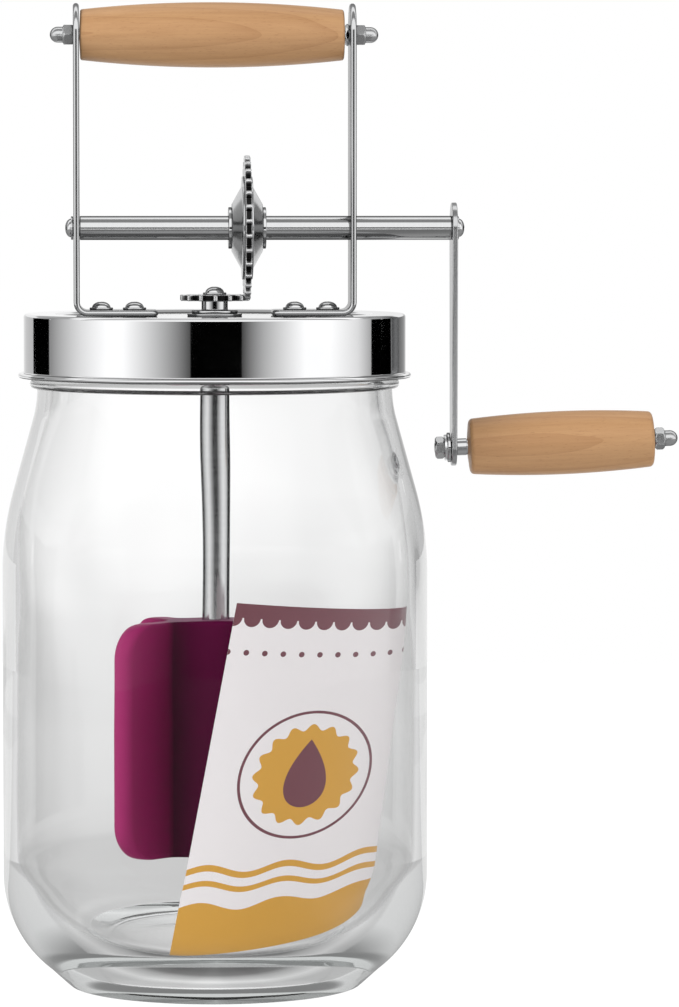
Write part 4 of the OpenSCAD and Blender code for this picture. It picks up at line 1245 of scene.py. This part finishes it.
# Dasher spindle
# A round bar of bright steel that hangs in the bush, with a thinner neck, a thinner round top for
# the small gear and its lower end in the paddle. A cross pin keeps the paddle on it.
spindle_low, spindle_high = span("dasher_spindle")
spindle_r = 5.3
spindle_neck_r = 3.5
spindle_top_r = 2.4
spindle_edge = 0.5
neck_gap = 0.3
neck_low_z = bush_low.z - neck_gap
spindle_outline = (
    [(0, spindle_low.z), (spindle_r - spindle_edge, spindle_low.z),
     (spindle_r, spindle_low.z + spindle_edge)]
    + arc(spindle_r - spindle_edge, neck_low_z - spindle_edge, spindle_edge, 0, 90, 4)
    + [(spindle_neck_r, neck_low_z), (spindle_neck_r, driven_low.z), (spindle_top_r, driven_low.z),
       (spindle_top_r, spindle_high.z), (0, spindle_high.z)])
spindle_steel = bright_steel("spindle_steel", 0.68, 0.14, (60, 60, 900))
piece("spindle_bar", turned(spindle_outline), spindle_steel, "dasher", "dasher_spindle")
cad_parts["paddle_pin"].data.materials.clear()
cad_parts["paddle_pin"].data.materials.append(turned_steel)


# Paddle
# A soft moulded silicone paddle in wine red: a web round the spindle with two splayed fins at
# each end, all edges well rounded. Its colour is painted darker on the web and darkest in the
# folds, as shade, and lighter towards the fin tips, as light.
paddle_low, paddle_high = span("paddle")
paddle_r = 42
web_half = 11.5
web_t = 20
fin_t = 8
fin_angle = 54
fin_corner = 13
paddle_edge = 1.8
web_fillet = 4.5
fin_fillet = 9
corner_steps = 12
paddle_turn = -9


def paddle_section(reach, inset):
    """Outline of the paddle across its height: its fins end at this reach, and its sides stay
    back by the inset."""
    lean = radians(fin_angle)
    half, web = fin_t / 2 - inset, web_t / 2 - inset
    out = Vector((cos(lean), sin(lean)))
    run = sqrt(reach ** 2 - (web_half * out.y) ** 2) - web_half * out.x - fin_t / 2
    tip = Vector((web_half, 0)) + out * run
    bend = web_fillet + inset
    bend_start = web_half - (half - web * out.x) / out.y - bend * tan(lean / 2)
    crotch = fin_fillet + inset
    crotch_x = web_half + (half + crotch) / out.y
    quarter = ([(0, web)] + arc(bend_start, web + bend, bend, -90, fin_angle - 90, 6)
               + arc(tip.x, tip.y, half, fin_angle + 90, fin_angle - 90, 12)
               + arc(crotch_x, 0, crotch, 90 + fin_angle, 180, 8))
    right = quarter + [(x, -y) for x, y in reversed(quarter[:-1])]
    return right + [(-x, y) for x, y in reversed(right[1:-1])]


def paddle_shape():
    """Stacks the paddle's sections, drawn in towards its rounded top and bottom."""
    levels = []
    for base, way in ((paddle_low.z, 1), (paddle_high.z, -1)):
        stack = []
        for k in range(corner_steps + 1):
            angle = pi / 2 * k / corner_steps
            up = fin_corner * (1 - cos(angle))
            short = max(0, paddle_edge - up)
            inset = paddle_edge - sqrt(paddle_edge ** 2 - short ** 2)
            stack.append((paddle_r - fin_corner * (1 - sin(angle)), inset, base + way * up))
        levels += stack if way > 0 else stack[::-1]
    made = bmesh.new()
    loops = [[made.verts.new((x, y, z)) for x, y in paddle_section(reach, inset)]
             for reach, inset, z in levels]
    made.faces.new(loops[0])
    made.faces.new(loops[-1])
    return bridged(made, loops)


wine_silicone, wire = new_finish("wine_silicone")
place = wire.node("TexCoord", out="Object")
cloud = noise(wire, 35, 3, place)
skin = noise(wire, 1800, 2, place)
across, depth, _ = place.parts()
paddle_reach_share = hypotenuse(across, depth) / (paddle_r * MM)
# Painted light and shade by distance from the axis: dark on the web, darkest in the folds where the fins
# meet it, lighter towards the fin tips.
painted_light_colour = wire.node("ValToRGB", {"Fac": paddle_reach_share}, stops=(
    (0.24, (0.1, 0.003, 0.04, 1)), (0.36, (0.06, 0.001, 0.022, 1)), (0.41, (0.05, 0.001, 0.018, 1)),
    (0.47, (0.18, 0.004, 0.062, 1)), (0.54, (0.22, 0.006, 0.077, 1)), (0.76, (0.33, 0.013, 0.12, 1)),
    (1, (0.4, 0.03, 0.155, 1))))
painted_light_colour = wire.node("Mix", {0: 1, 6: painted_light_colour, 7: cloud.mix(grey(0.9), grey(1))}, 2,
                 data_type="RGBA", blend_type="MULTIPLY")
surface(wire, {"Base Color": painted_light_colour, "Roughness": 0.42 + cloud * 0.12, "Specular IOR Level": 0.05,
               "Sheen Weight": 0.6, "Sheen Roughness": 0.2, "Sheen Tint": (1, 0.5, 0.74, 1),
               "Normal": bump(wire, skin, 0.1, 0.0002)})
piece("paddle_soft", paddle_shape(), wine_silicone, "dasher", "paddle",
      Matrix.Rotation(radians(paddle_turn), 4, "Z"))
